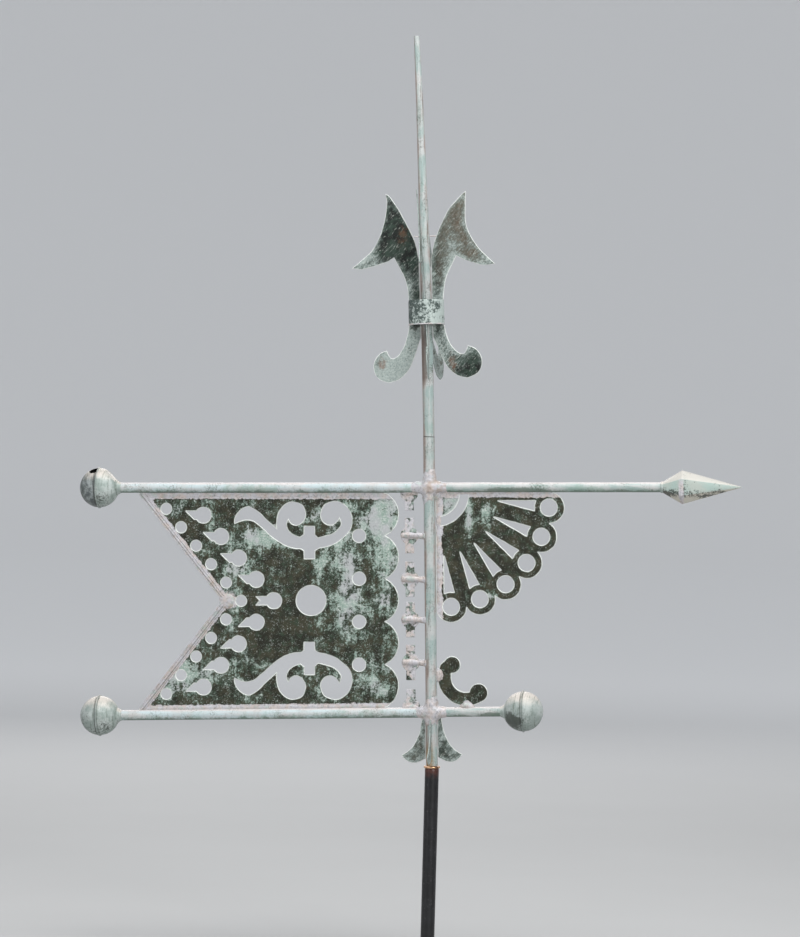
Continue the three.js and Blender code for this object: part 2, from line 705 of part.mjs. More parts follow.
add(vane, 'half_spool_bottom', halfSpoolShape(bannerBottom(spoolX), 1), 'copperTube');
add(vane, 'fan', fanShape(), 'banner');
add(vane, 'corner_gusset', gussetShape(), 'banner');
add(vane, 'scroll_bracket', bracketShape(), 'banner');
leaves.forEach((leaf) => add(vane, leaf.name, finialLeafShape(leaf), 'leaf'));
add(vane, 'finial_collar', collarShape(), 'leaf');
add(vane, 'brace_wire', onFinial(braceRod(brace.radius, brace.reach - gap)), 'copperTube');
baseLeaves.forEach(([side, lift], i) => {
  add(vane, `base_leaf_${side}`, baseLeafShape((i * Math.PI) / 2, lift), 'leaf');
});

export default part;
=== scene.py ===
import json
import math
from contextlib import contextmanager

import bmesh
import bpy
import numpy as np
from mathutils import Matrix, Vector, kdtree, noise
from mathutils.geometry import delaunay_2d_cdt


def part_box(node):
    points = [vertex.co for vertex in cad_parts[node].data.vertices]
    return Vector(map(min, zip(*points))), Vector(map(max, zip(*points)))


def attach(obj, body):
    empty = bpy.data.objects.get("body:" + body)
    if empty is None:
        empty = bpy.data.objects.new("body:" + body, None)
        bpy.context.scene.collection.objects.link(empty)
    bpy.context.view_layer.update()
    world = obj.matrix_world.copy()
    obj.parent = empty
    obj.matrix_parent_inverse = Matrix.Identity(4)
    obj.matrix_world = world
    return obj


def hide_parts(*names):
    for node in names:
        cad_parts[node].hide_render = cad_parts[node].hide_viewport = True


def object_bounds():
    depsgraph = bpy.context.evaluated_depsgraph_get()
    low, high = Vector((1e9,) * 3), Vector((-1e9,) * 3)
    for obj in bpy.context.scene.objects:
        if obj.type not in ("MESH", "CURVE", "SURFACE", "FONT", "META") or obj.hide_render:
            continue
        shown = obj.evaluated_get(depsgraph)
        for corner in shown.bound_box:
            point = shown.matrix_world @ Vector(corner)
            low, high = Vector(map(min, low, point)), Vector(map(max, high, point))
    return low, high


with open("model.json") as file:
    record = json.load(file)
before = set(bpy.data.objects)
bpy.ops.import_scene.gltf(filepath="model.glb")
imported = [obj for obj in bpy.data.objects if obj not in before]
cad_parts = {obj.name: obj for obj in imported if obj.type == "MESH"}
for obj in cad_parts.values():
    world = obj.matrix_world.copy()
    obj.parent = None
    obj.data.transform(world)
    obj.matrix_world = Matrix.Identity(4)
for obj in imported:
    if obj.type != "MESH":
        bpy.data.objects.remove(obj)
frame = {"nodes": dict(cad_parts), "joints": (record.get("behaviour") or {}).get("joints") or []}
cad_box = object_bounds()
nodes = frame["nodes"]

MM = 0.001
SEAT = frame["joints"][0]["pos_m"][2]
VANE_LEAN = math.radians(1.55)
X_AXIS, Y_AXIS, Z_AXIS = Vector((1, 0, 0)), Vector((0, 1, 0)), Vector((0, 0, 1))
random = np.random.default_rng(11)

# Camera of the photograph, in the leaning frame of the vane
VIEW_AZIMUTH = math.radians(9.5)
VIEW_DISTANCE = 6.3
VIEW_TARGET = Vector((-0.05831, 0, 0.53414))
FOCAL_PIXELS = 3500
FRAME_WIDTH, FRAME_HEIGHT = 800, 937
SENSOR = 36


def vane(x, z):
    """A point in the vane's middle plane, in millimetres from its seat, as a place in the scene."""
    c, s = math.cos(VANE_LEAN), math.sin(VANE_LEAN)
    return Vector((x * c - z * s, 0, x * s + z * c)) * MM + Vector((0, 0, SEAT))


def clump(p, size, seed=0.0):
    """Smooth noise between -1 and 1 at a point, with lumps of about the given size."""
    return noise.noise(Vector(p) / size + Vector((seed, 2 * seed, -seed)))


# Pieces
@contextmanager
def editing(mesh):
    """Opens a mesh for changes and writes them back."""
    made = bmesh.new()
    made.from_mesh(mesh)
    yield made
    made.to_mesh(mesh)
    made.free()


def placed(name, data):
    """A new object in the scene."""
    obj = bpy.data.objects.new(name, data)
    bpy.context.scene.collection.objects.link(obj)
    return obj


def piece(name, verts, faces, slot, material, stands_for=None, attributes=None, body="vane"):
    """A new piece, kept inside the solids' box, with values for its points as attributes."""
    mesh = bpy.data.meshes.new(name)
    places = np.clip(np.array([tuple(v) for v in verts]), np.array(cad_box[0]), np.array(cad_box[1]))
    mesh.from_pydata(places.tolist(), [], [tuple(int(i) for i in f) for f in faces])
    for key, values in (attributes or {}).items():
        layer = mesh.attributes.new(key, "FLOAT", "POINT")
        layer.data.foreach_set("value", np.asarray(values, np.float32))
    with editing(mesh) as made:
        bmesh.ops.recalc_face_normals(made, faces=made.faces)
    obj = placed(name, mesh)
    dress(obj, slot, material, stands_for, body)
    return obj


def dress(obj, slot, material, stands_for=None, body="vane"):
    obj.data.materials.clear()
    obj.data.materials.append(material)
    obj.data.polygons.foreach_set("use_smooth", [True] * len(obj.data.polygons))
    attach(obj, body)
    if stands_for:
        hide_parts(stands_for)


def node_points(node):
    return np.array([v.co for v in nodes[node].data.vertices])


def middle_of(points):
    return (points.min(0) + points.max(0)) / 2


def loft(rings):
    """Faces between rings of equal length, each closed round, with fans over both ends."""
    count = len(rings[0])
    verts = [p for ring in rings for p in ring]
    faces = []
    for r in range(len(rings) - 1):
        for i in range(count):
            j = (i + 1) % count
            a, b = r * count, (r + 1) * count
            faces.append((a + i, a + j, b + j, b + i))
    for start, ring in ((0, rings[0]), ((len(rings) - 1) * count, rings[-1])):
        verts.append(sum((Vector(p) for p in ring), Vector()) / count)
        faces += [(start + i, start + (i + 1) % count, len(verts) - 1) for i in range(count)]
    return verts, faces


def closed_grid(rings):
    """Points and faces of a surface that is closed round each ring and from the last to the first."""
    count = len(rings[0])
    faces = []
    for r in range(len(rings)):
        a, b = r * count, (r + 1) % len(rings) * count
        for i in range(count):
            j = (i + 1) % count
            faces.append((a + i, a + j, b + j, b + i))
    return [p for ring in rings for p in ring], faces


def hermite(t):
    """Shares of the start, the end, the way out and the way in at t on a smooth step."""
    return 2 * t**3 - 3 * t**2 + 1, -2 * t**3 + 3 * t**2, t**3 - 2 * t**2 + t, t**3 - t**2


# Sheet pieces: the outline of the frame's flat piece, made smooth and rounded at its cut edge
CORNER = math.radians(38)
LONG_STEP = 2.4
LONGEST_ARC_STEP = 19 * MM
SHORTEST_STRAIGHT = 5 * MM
RIM = 0.35 * MM
RING_INSET = 1.5 * MM
BENT_SHEET = 1.6 * MM
WELD = 2e-6
SLIVER = 1e-9


def welded(node):
    made = bmesh.new()
    made.from_mesh(nodes[node].data)
    bmesh.ops.remove_doubles(made, verts=made.verts, dist=WELD)
    made.verts.index_update()
    return made


def flat_side(made, facing):
    """The faces of one broad side, with its mean direction."""
    def side(direction):
        return [f for f in made.faces if f.calc_area() > SLIVER and f.normal.dot(direction) > 0.7]
    direction = sum((f.normal * f.calc_area() for f in side(facing)), Vector()).normalized()
    chosen = set(side(direction))
    corners = {v for f in chosen for v in f.verts}
    slivers = [f for f in made.faces if f.calc_area() <= SLIVER and all(v in corners for v in f.verts)]
    return chosen | set(slivers), direction


def outline_loops(chosen):
    """The closed loops of points round the chosen faces."""
    count = {}
    for f in chosen:
        for e in f.edges:
            count[e] = count.get(e, 0) + 1
    links = {}
    for e, uses in count.items():
        if uses == 1:
            a, b = e.verts
            links.setdefault(a, []).append(b)
            links.setdefault(b, []).append(a)
    loops = []
    left = set(links)
    while left:
        start = left.pop()
        loop, last, here = [start], None, start
        while True:
            step = next((v for v in links[here] if v is not last and v in left), None)
            if step is None:
                break
            left.discard(step)
            loop.append(step)
            last, here = here, step
        if len(loop) > 2:
            loops.append([v.co.copy() for v in loop])
    return loops


def refined(loop, spacing):
    """A finer loop of (u, v, w): round stretches follow a curve through the points, corners stay."""
    p = np.asarray(loop, float)
    chord = np.roll(p, -1, 0) - p
    lengths = np.maximum(1e-9, np.linalg.norm(chord[:, :2], axis=1))
    way = chord / lengths[:, None]
    last_way, last_length = np.roll(way, 1, 0), np.roll(lengths, 1)
    cross = last_way[:, 0] * way[:, 1] - last_way[:, 1] * way[:, 0]
    corner = np.abs(np.arctan2(cross, (last_way[:, :2] * way[:, :2]).sum(1))) > CORNER
    next_length = np.roll(lengths, -1)
    uneven = lengths > LONG_STEP * np.minimum(last_length, next_length)
    straight_chord = (lengths > LONGEST_ARC_STEP) | (uneven & (lengths > SHORTEST_STRAIGHT))
    last_straight = np.roll(straight_chord, 1)
    tangent = way * last_length[:, None] + last_way * lengths[:, None]
    tangent[straight_chord & ~last_straight] = way[straight_chord & ~last_straight]
    tangent[last_straight & ~straight_chord] = last_way[last_straight & ~straight_chord]
    tangent /= np.maximum(1e-9, np.linalg.norm(tangent, axis=1))[:, None]

    def mirrored(direction, axis):
        return 2 * direction.dot(axis) * axis - direction

    fine = []
    for i in range(len(p)):
        j = (i + 1) % len(p)
        if straight_chord[i] or (corner[i] and corner[j]):
            first = last = way[i]
        else:
            first = mirrored(tangent[j], way[i]) if corner[i] else tangent[i]
            last = mirrored(tangent[i], way[i]) if corner[j] else tangent[j]
        steps = max(1, int(math.ceil(lengths[i] / spacing)))
        for k in range(steps):
            start, end, leaving, arriving = hermite(k / steps)
            fine.append(start * p[i] + end * p[j] + (leaving * first + arriving * last) * lengths[i])
    return np.array(fine)


def signed_area(loop):
    x, y = loop[:, 0], loop[:, 1]
    return 0.5 * float(np.sum(x * np.roll(y, -1) - np.roll(x, -1) * y))


def inward(loop):
    """Unit directions into the material, which lies to the left of the loop."""
    out = np.roll(loop[:, :2], -1, 0) - loop[:, :2]
    out /= np.maximum(1e-12, np.linalg.norm(out, axis=1))[:, None]
    into = np.roll(out, 1, 0)
    left = np.stack([-out[:, 1] - into[:, 1], out[:, 0] + into[:, 0]], 1)
    size = np.maximum(0.35, np.linalg.norm(left, axis=1) / 2)
    return left / 2 / (size**2)[:, None]


def inside(points, loops):
    """Whether each point lies in the material, by crossings with every loop."""
    crossings = np.zeros(len(points), int)
    for loop in loops:
        a = loop[:, :2]
        b = np.roll(a, -1, 0)
        for s in range(0, len(points), 4000):
            q = points[s:s + 4000]
            above_a = a[None, :, 1] > q[:, None, 1]
            above_b = b[None, :, 1] > q[:, None, 1]
            run = (b[:, 0] - a[:, 0]) / np.where(b[:, 1] == a[:, 1], 1e-12, b[:, 1] - a[:, 1])
            x = a[None, :, 0] + (q[:, None, 1] - a[None, :, 1]) * run[None]
            crossings[s:s + 4000] += ((above_a != above_b) & (q[:, None, 0] < x)).sum(1)
    return crossings % 2 == 1


def sheet_piece(node, facing, grid, spacing, slot, material, look, buckle=0.0, rim_highlight_offset=0.0):
    """Rebuilds a flat node finely. look gives a point's paleness, brownness and solder, 0 to 1 each."""
    made = welded(node)
    chosen, w_axis = flat_side(made, Vector(facing))
    loops = outline_loops(chosen)
    back, _ = flat_side(made, -w_axis)
    front_level = max(v.co.dot(w_axis) for f in chosen for v in f.verts)
    back_level = min(v.co.dot(w_axis) for f in back for v in f.verts)
    v_axis = (Vector((0, 0, 1)) - w_axis * w_axis.z).normalized()
    u_axis = v_axis.cross(w_axis)
    bent = (front_level - back_level) > 4 * MM
    thickness = BENT_SHEET if bent else front_level - back_level
    made.free()

    flat = [np.array([(p.dot(u_axis), p.dot(v_axis), p.dot(w_axis)) for p in loop]) for loop in loops]
    flat = [refined(loop, spacing) for loop in flat]
    flat.sort(key=lambda loop: -abs(signed_area(loop)))
    flat = [loop[::-1] if (signed_area(loop) > 0) != (i == 0) else loop for i, loop in enumerate(flat)]
    rims = np.concatenate(flat)
    tree = kdtree.KDTree(len(rims))
    for i, p in enumerate(rims):
        tree.insert((p[0], p[1], 0), i)
    tree.balance()

    def level(u, v):
        near = tree.find_n((u, v, 0), 6)
        weights = [1 / (d * d + 1e-10) for _, _, d in near]
        return sum(w * rims[i][2] for w, (_, i, _) in zip(weights, near)) / sum(weights)

    shrunk = [loop[:, :2] + inward(loop) * RIM for loop in flat]
    rings = np.concatenate([loop[:, :2] + inward(loop) * RING_INSET for loop in flat])
    low, high = rims[:, :2].min(0), rims[:, :2].max(0)
    across = np.arange(low[0], high[0], grid)
    up = np.arange(low[1], high[1], grid)
    lattice = np.array([(x, y) for y in up for x in across])
    lattice = lattice + random.uniform(-0.25, 0.25, lattice.shape) * grid
    extra = np.concatenate([rings, lattice]) if len(lattice) else rings
    gaps = np.array([tree.find((p[0], p[1], 0))[2] for p in extra])
    is_ring = np.arange(len(extra)) < len(rings)
    keep = (gaps > 0.8 * RING_INSET) & (is_ring | (gaps > RING_INSET + 0.4 * grid)) & inside(extra, flat)
    inner, inner_gap = extra[keep], gaps[keep]

    edge_points = np.concatenate(shrunk)
    points = np.concatenate([edge_points, inner])
    segments, at = [], 0
    for loop in shrunk:
        n = len(loop)
        segments += [(at + i, at + (i + 1) % n) for i in range(n)]
        at += n
    scale = 1000.0
    out = delaunay_2d_cdt([Vector(p * scale) for p in points], segments, [], 1, 1e-4)
    plane = np.array([tuple(p) for p in out[0]]) / scale
    source = [ids[0] if ids else -1 for ids in out[3]]
    triangles = np.array([f for f in out[2] if len(f) == 3])
    centres = plane[triangles].mean(1)
    triangles = triangles[inside(centres, shrunk)]

    gap_of = np.concatenate([np.zeros(len(edge_points)), inner_gap])
    edge = np.array([gap_of[s] if s >= 0 else 0.0 for s in source])
    rim_id = {s: i for i, s in enumerate(source) if 0 <= s < len(edge_points)}
    verts, edges_at = [], []

    def place(u, v, w):
        return u_axis * u + v_axis * v + w_axis * w

    middle = (front_level + back_level) / 2
    waves = []
    for (u, v), gap in zip(plane, edge):
        centre = level(u, v) - thickness / 2 if bent else middle
        ease = min(1.0, gap / (12 * MM))
        waves.append(centre + buckle * ease * clump((u, v, 0), 0.07, 3.1))
    count = len(plane)
    for side in (1, -1):
        for (u, v), centre, gap in zip(plane, waves, edge):
            verts.append(place(u, v, centre + side * thickness / 2))
            # The offset added here raises the edge values, which weakens the painted rim highlight and, on
            # the leaves, the pale margin.
            edges_at.append(gap + RIM * 0.6 + rim_highlight_offset)
    faces = [tuple(t) for t in triangles] + [tuple(t[::-1] + count) for t in triangles]
    # Rounded cut edge: two more rings between the front and the back
    for k, loop in enumerate(flat):
        offset = sum(len(other) for other in flat[:k])
        n = len(loop)
        ring_ids = []
        for side in (1, -1):
            ring_ids.append([])
            for i, (u, v, _) in enumerate(loop):
                home = rim_id.get(offset + i)
                centre = waves[home] if home is not None else middle
                verts.append(place(u, v, centre + side * (thickness / 2 - RIM)))
                edges_at.append(rim_highlight_offset)
                ring_ids[-1].append(len(verts) - 1)
        front = [rim_id.get(offset + i) for i in range(n)]
        rows = [front, ring_ids[0], ring_ids[1], [None if f is None else f + count for f in front]]
        for row, below in zip(rows[:-1], rows[1:]):
            for i in range(n):
                j = (i + 1) % n
                corners = (row[i], below[i], below[j], row[j])
                if None not in corners:
                    faces.append(corners)
    looks = np.array([look(p) for p in verts])
    attributes = {"edge": edges_at, "pale": looks[:, 0], "brown": looks[:, 1], "solder": looks[:, 2]}
    sharpen(piece(node + "_sheet", verts, faces, slot, material, node, attributes))


def sharpen(obj, angle=50):
    """Smooth faces, with edges sharper than the angle left crisp."""
    limit = math.radians(angle)
    with editing(obj.data) as made:
        for e in made.edges:
            e.smooth = len(e.link_faces) != 2 or e.calc_face_angle(0) < limit


# Tubes
def end_ring(node, direction):
    """Centre and radius of the round end of a tube node that looks along the direction."""
    co = node_points(node)
    along = co @ np.array(direction)
    end = co[along > along.max() - 2 * MM]
    centre = middle_of(end)
    return Vector(centre), float(np.linalg.norm(end - centre, axis=1).max())


def frame_across(direction):
    side = Vector((0, 1, 0)) if abs(direction.y) < 0.9 else Vector((1, 0, 0))
    a = direction.cross(side).normalized()
    return a, direction.cross(a).normalized()


def tube_rings(path, radii, sides, rough=0.0, seed=0.0):
    rings = []
    for i, (centre, radius) in enumerate(zip(path, radii)):
        ahead = path[min(i + 1, len(path) - 1)] - path[max(i - 1, 0)]
        a, b = frame_across(ahead.normalized())
        ring = []
        for k in range(sides):
            angle = 2 * math.pi * k / sides
            out = a * math.cos(angle) + b * math.sin(angle)
            r = radius + rough * clump(centre + out * radius, 0.03, seed)
            ring.append(centre + out * r)
        rings.append(ring)
    return rings


def straight(start, end, step):
    count = max(1, round((end - start).length / step))
    return [start.lerp(end, i / count) for i in range(count + 1)]


def tube(name, path, radii, wall, material, node, sides=40, rough=0.12 * MM, seed=0.0):
    """A tube that stands for a node and is rough outside. A wall of 0 makes it solid."""
    outer = tube_rings(path, radii, sides, rough, seed)
    if wall:
        inner = tube_rings(path, [r - wall for r in radii], sides)
        verts, faces = closed_grid(outer + inner[::-1])
    else:
        verts, faces = loft(outer)
    sharpen(piece(name, verts, faces, "tube_copper", material, node))


# Node materials
class Value:
    """A node's output that adds, subtracts and multiplies like a number."""

    def __init__(self, look, socket):
        self.look = look
        self.socket = socket

    def __add__(self, other):
        return self.look.math("ADD", self, other)

    def __sub__(self, other):
        return self.look.math("SUBTRACT", self, other)

    def __rsub__(self, other):
        return self.look.math("SUBTRACT", other, self)

    def __mul__(self, other):
        return self.look.math("MULTIPLY", self, other)

    __radd__ = __add__
    __rmul__ = __mul__


class Look:
    """Builds one material's nodes by short calls. They take numbers, colours and Values."""

    def __init__(self, name, roughness, metallic=0.0):
        self.material = bpy.data.materials.new(name)
        self.material.use_nodes = True
        self.tree = self.material.node_tree
        self.shader = self.tree.nodes["Principled BSDF"]
        self.shader.inputs["Roughness"].default_value = roughness
        self.shader.inputs["Metallic"].default_value = metallic
        coordinates = self.tree.nodes.new("ShaderNodeTexCoord").outputs
        self.place = Value(self, coordinates["Object"])
        self.facing = Value(self, coordinates["Normal"])
        self.material.diffuse_color = (0.5, 0.5, 0.5, 1)

    def feed(self, socket, value):
        if isinstance(value, Value):
            self.tree.links.new(value.socket, socket)
        elif hasattr(value, "__len__") and socket.type == "RGBA":
            socket.default_value = (*value[:3], 1)
        else:
            socket.default_value = value

    def node(self, kind, output, inputs, **settings):
        """A new node with its settings and inputs in place, as the Value of one of its outputs."""
        made = self.tree.nodes.new(kind)
        for key, value in settings.items():
            setattr(made, key, value)
        for key, value in inputs.items():
            self.feed(made.inputs[key], value)
        return Value(self, made.outputs[output])

    def stretched(self, x, y, z):
        return self.node("ShaderNodeMapping", "Vector", {"Vector": self.place, "Scale": (x, y, z)})

    def noise(self, scale, detail=4, rough=0.55, vector=None, distort=0.0):
        inputs = {"Vector": vector or self.place, "Scale": scale, "Detail": detail}
        inputs.update({"Roughness": rough, "Distortion": distort})
        return self.node("ShaderNodeTexNoise", "Fac", inputs)

    def attribute(self, name):
        return self.node("ShaderNodeAttribute", "Fac", {}, attribute_name=name)

    def math(self, operation, a, b=0.0):
        return self.node("ShaderNodeMath", 0, {0: a, 1: b}, operation=operation)

    def ragged(self, value, amount, noise):
        """The value made uneven by a noise, by half the amount either way at most."""
        return value + (noise - 0.5) * amount

    def band(self, value, low, high):
        """0 below low, 1 above high, smooth between."""
        inputs = {"Value": value, "From Min": low, "From Max": high}
        return self.node("ShaderNodeMapRange", "Result", inputs, interpolation_type="SMOOTHSTEP")

    def between(self, value, low, high, soft):
        """1 from low to high, fading to 0 over the soft distance beyond."""
        return self.band(value, low - soft, low) - self.band(value, high, high + soft)

    def mix(self, factor, a, b):
        """From colour a to colour b. A mix node's colours are its inputs 6 and 7 and its output 2."""
        return self.node("ShaderNodeMix", 2, {0: factor, 6: a, 7: b}, data_type="RGBA")

    def over(self, colour, tint, amount, value, low, high):
        """The tint over the colour, by none of the amount at low and all of it at high."""
        return self.mix(self.band(value, low, high) * amount, colour, tint)

    def normal(self, axis):
        return self.node("ShaderNodeSeparateXYZ", axis, {0: self.facing})

    def along(self, axis):
        return self.node("ShaderNodeSeparateXYZ", axis, {0: self.place})

    def bump(self, height, distance):
        inputs = {"Strength": 1.0, "Distance": distance, "Height": height}
        self.feed(self.shader.inputs["Normal"], self.node("ShaderNodeBump", "Normal", inputs))

    def finish(self, colour, roughness=None, metallic=None):
        for key, value in (("Base Color", colour), ("Roughness", roughness), ("Metallic", metallic)):
            if value is not None:
                self.feed(self.shader.inputs[key], value)
        return self.material


def srgb(*levels):
    """A colour as seen, 0 to 255, as the shader's linear values."""
    return tuple(c / 255 / 12.92 if c < 11 else ((c / 255 + 0.055) / 1.055) ** 2.4 for c in levels)


OLIVE_DARK = srgb(38, 39, 28)
OLIVE_BROWN = srgb(63, 61, 46)
OLIVE_GREEN = srgb(54, 68, 53)
HAZE = srgb(90, 112, 96)
VERDIGRIS = srgb(144, 164, 153)
PALE = srgb(200, 208, 201)
RIM_PALE = srgb(222, 226, 221)
SOLDER = srgb(188, 186, 190)
SOLDER_WARM = srgb(190, 179, 174)
SOLDER_GREY = srgb(136, 135, 135)
BLACK_GREEN = srgb(20, 25, 21)
TEAL = srgb(50, 65, 56)
LEAF_PALE = srgb(136, 148, 144)
TAN = srgb(116, 108, 96)
RUST = srgb(116, 80, 58)


def solder_tone(look):
    tone = look.mix(look.band(look.noise(48, 5, 0.6), 0.42, 0.6), SOLDER, SOLDER_WARM)
    tone = look.over(tone, SOLDER_GREY, 0.75, look.noise(210, 7, 0.7), 0.5, 0.66)
    return look.over(tone, RIM_PALE, 0.5, look.noise(330, 6, 0.7), 0.55, 0.66)


# Painted highlight: a pale line along the cut edges of the sheets and leaves, fading in from the edge.
def painted_rim_highlight(look, colour, reach):
    wear_and_rim_highlight = look.ragged(look.attribute("edge"), 0.003, look.noise(60, 4))
    return look.mix((1 - look.band(wear_and_rim_highlight, 0.0006, reach)) * 0.95, colour, RIM_PALE)


def soldered(look, colour, value):
    """Solder over a colour where the value is high, with a ragged edge and a dark line along it."""
    frayed = look.ragged(value, 1.3, look.noise(140, 6, 0.7))
    coated = look.band(frayed, 0.4, 0.56)
    line = look.band(frayed, 0.26, 0.36) * (1 - coated)
    colour = look.mix(line * 0.4, colour, OLIVE_DARK)
    return look.mix(coated, colour, solder_tone(look)), coated


def sheet_material():
    """Dark olive copper under haze, pale crust, pits and flecks, with solder along the seams."""
    look = Look("sheet_copper", 0.55)
    ground = look.mix(look.band(look.noise(34, 4), 0.42, 0.6), OLIVE_DARK, OLIVE_BROWN)
    ground = look.over(ground, OLIVE_GREEN, 0.85, look.noise(80, 6, 0.65), 0.48, 0.66)
    cloud = look.noise(27, 4, 0.55)
    blotch = look.noise(75, 5, 0.62)
    streak = look.noise(1, 5, 0.6, look.stretched(120, 60, 16))
    grain = look.noise(270, 9, 0.78, distort=0.3)
    pale = look.attribute("pale")
    wet = cloud * 0.9 + blotch * 0.5 + streak * 0.5 + grain * 1.1 + pale
    haze = look.band(wet, 1.5, 1.74)
    crust = look.band(wet, 1.63, 1.72)
    colour = look.mix(haze * 0.8, ground, HAZE)
    crusty = look.mix(look.band(look.noise(330, 6, 0.7), 0.46, 0.64), VERDIGRIS, PALE)
    crusty = look.over(crusty, SOLDER, 0.8, look.noise(22, 3) + pale * 0.5, 0.56, 0.74)
    colour = look.mix(crust * 0.85, colour, crusty)
    pit = look.noise(300, 8, 0.8) - blotch * 0.15
    colour = look.over(colour, BLACK_GREEN, 0.3, pit, 0.47, 0.56)
    fleck = look.noise(480, 6, 0.75) + blotch * 0.25
    colour = look.over(colour, PALE, 0.7, fleck, 0.71, 0.76)
    colour, coated = soldered(look, colour, look.attribute("solder"))
    # Painted highlight along the cut edges.
    colour = painted_rim_highlight(look, colour, 0.0025)
    cover = look.math("MAXIMUM", crust, coated)
    look.bump(cover * 0.5 + grain * 0.6 + cloud * 0.5, 0.0006)
    roughness = 0.42 + haze * 0.2 + look.noise(120, 4) * 0.15
    metallic = (1 - look.math("MAXIMUM", haze, coated)) * 0.45
    return look.finish(colour, roughness, metallic)


def tube_material(name, stretch, stain_and_shade, greenness):
    """Stretch is the noise scale in x, y and z: low along the tube, so that streaks follow it."""
    look = Look(name, 0.5)
    up = look.normal("Z")
    streak = look.noise(1, 6, 0.65, look.stretched(*stretch))
    cloud = look.noise(30, 5, 0.6)
    fine = look.noise(300, 8, 0.75)
    left = 1 - look.band(look.along("X"), -0.06, 0.03)
    cool = look.mix(left * (1 - stain_and_shade), srgb(152, 169, 165), srgb(198, 211, 215))
    base = look.mix(look.band(cloud, 0.4, 0.62), cool, srgb(182, 185, 183))
    base = look.over(base, srgb(196, 194, 192), 0.6, streak, 0.46, 0.62)
    green = look.noise(24, 6, 0.65) + fine * 0.4 - up * 0.08
    base = look.over(base, srgb(128, 156, 142), greenness, green, 0.7, 0.86)
    # Painted highlight: a pale warm colour on the upward-facing top of the tube, where the overhead light
    # falls.
    base = look.over(base, srgb(208, 200, 197), 0.8, up + streak * 0.7, 0.9, 1.25)
    # Partly patina, partly painted shade: dark green patches gather on the downward-facing underside.
    under = look.noise(60, 7, 0.75) * 1.1 + fine * 0.5 - up * 0.55
    under = under + look.between(look.along("X"), 0.1, 0.18, 0.02) * 0.3
    base = look.over(base, srgb(84, 102, 88), 0.75, under, 1.0, 1.28)
    speck = look.noise(380, 8, 0.78) + look.noise(34, 3) * 0.5
    base = look.over(base, srgb(78, 84, 74), 0.75, speck, 0.82, 0.9)
    # Partly brown stain, partly painted shade: brown on the left-facing side, away from the light on the
    # right.
    to_left = look.normal("X") * -1
    side = look.math("MAXIMUM", to_left, to_left * -0.45)
    brown = side * (0.4 * stain_and_shade) + streak * 0.9 + cloud * 0.5
    base = look.over(base, srgb(140, 120, 110), 0.8 * stain_and_shade, brown, 0.82, 1.05)
    gap = look.noise(1, 6, 0.7, look.stretched(260, 260, 9)) + fine * 0.4
    base = look.over(base, srgb(96, 90, 82), 0.7 * stain_and_shade, gap, 0.74, 0.86)
    if stain_and_shade == 1.0:
        base = mast_stains_and_shade(look, base, to_left, streak)
    look.bump(fine * 0.7 + look.noise(80, 4) + streak, 0.0005)
    return look.finish(base, 0.42 + cloud * 0.25, 0.1)


def mast_stains_and_shade(look, base, to_left, streak):
    """Ochre stain at the mast's foot, a painted shadow as a dark brown strip on the left side under the
    collar, and the dark joint of mast and spire.
    """
    height = look.ragged(look.along("Z"), 0.03, streak)
    torn = look.ragged(to_left, 1.2, look.noise(160, 5, 0.7))
    foot = look.between(height, SEAT, SEAT + 0.022, 0.03) * look.band(torn, -0.8, 0.1)
    base = look.mix(foot * 0.75, base, srgb(146, 118, 78))
    # Painted shadow: dark brown on the left side just under the collar, where the front leaf's curl throws
    # shade.
    strip = look.between(height, SEAT + 0.7, SEAT + 0.775, 0.02) * look.band(torn, -0.5, 0.1)
    base = look.mix(strip * 0.8, base, srgb(98, 85, 77))
    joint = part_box("mast")[1].z
    line = look.between(look.along("Z"), joint - 0.0004, joint + 0.0006, 0.0005)
    return look.mix(line * 0.9, base, srgb(48, 44, 40))


def leaf_material():
    """Near-black copper with slanting scratches, pale margins, tan patches and rust."""
    look = Look("leaf_copper", 0.5)
    ground = look.mix(look.band(look.noise(48, 6, 0.65), 0.42, 0.58), BLACK_GREEN, TEAL)
    tan = look.mix(look.band(look.noise(150, 7, 0.75), 0.42, 0.58), srgb(92, 86, 74), TAN)
    ground = look.mix(look.attribute("brown"), ground, tan)
    slant = {"Vector": look.place, "Rotation": (0, math.radians(-52), 0), "Scale": (1 / 70, 1 / 70, 1 / 420)}
    diagonal = look.node("ShaderNodeMapping", "Vector", slant, vector_type="TEXTURE")
    scratch = look.noise(1, 8, 0.75, diagonal, 0.4)
    grain = look.noise(300, 9, 0.8)
    margin = (1 - look.band(look.attribute("edge"), 0.001, 0.011)) * 0.16
    wet = scratch * 0.9 + grain * 0.75 + look.noise(42, 4, 0.6) * 0.8 + margin + look.attribute("pale")
    haze = look.band(wet, 1.14, 1.46)
    crust = look.band(wet, 1.34, 1.56)
    colour = look.mix(haze * 0.75, ground, srgb(108, 120, 114))
    crusty = look.mix(look.band(grain, 0.38, 0.62), LEAF_PALE, srgb(180, 190, 185))
    colour = look.mix(crust * 0.85, colour, crusty)
    scraped = look.noise(1, 5, 0.7, diagonal, 1.2) + grain * 0.5
    colour = look.over(colour, srgb(168, 172, 164), 0.75, scraped, 0.83, 0.9)
    rusty = look.attribute("solder") + look.noise(120, 7, 0.75) * 1.6
    colour = look.over(colour, RUST, 0.8, rusty, 1.1, 1.75)
    colour = look.over(colour, BLACK_GREEN, 0.5, look.noise(380, 7, 0.78), 0.57, 0.65)
    # Painted highlight along the cut edges.
    colour = painted_rim_highlight(look, colour, 0.0013)
    look.bump(crust * 0.5 + grain * 0.7, 0.0006)
    roughness = 0.4 + haze * 0.2 + look.noise(120, 4) * 0.15
    return look.finish(colour, roughness, (1 - haze) * 0.4)


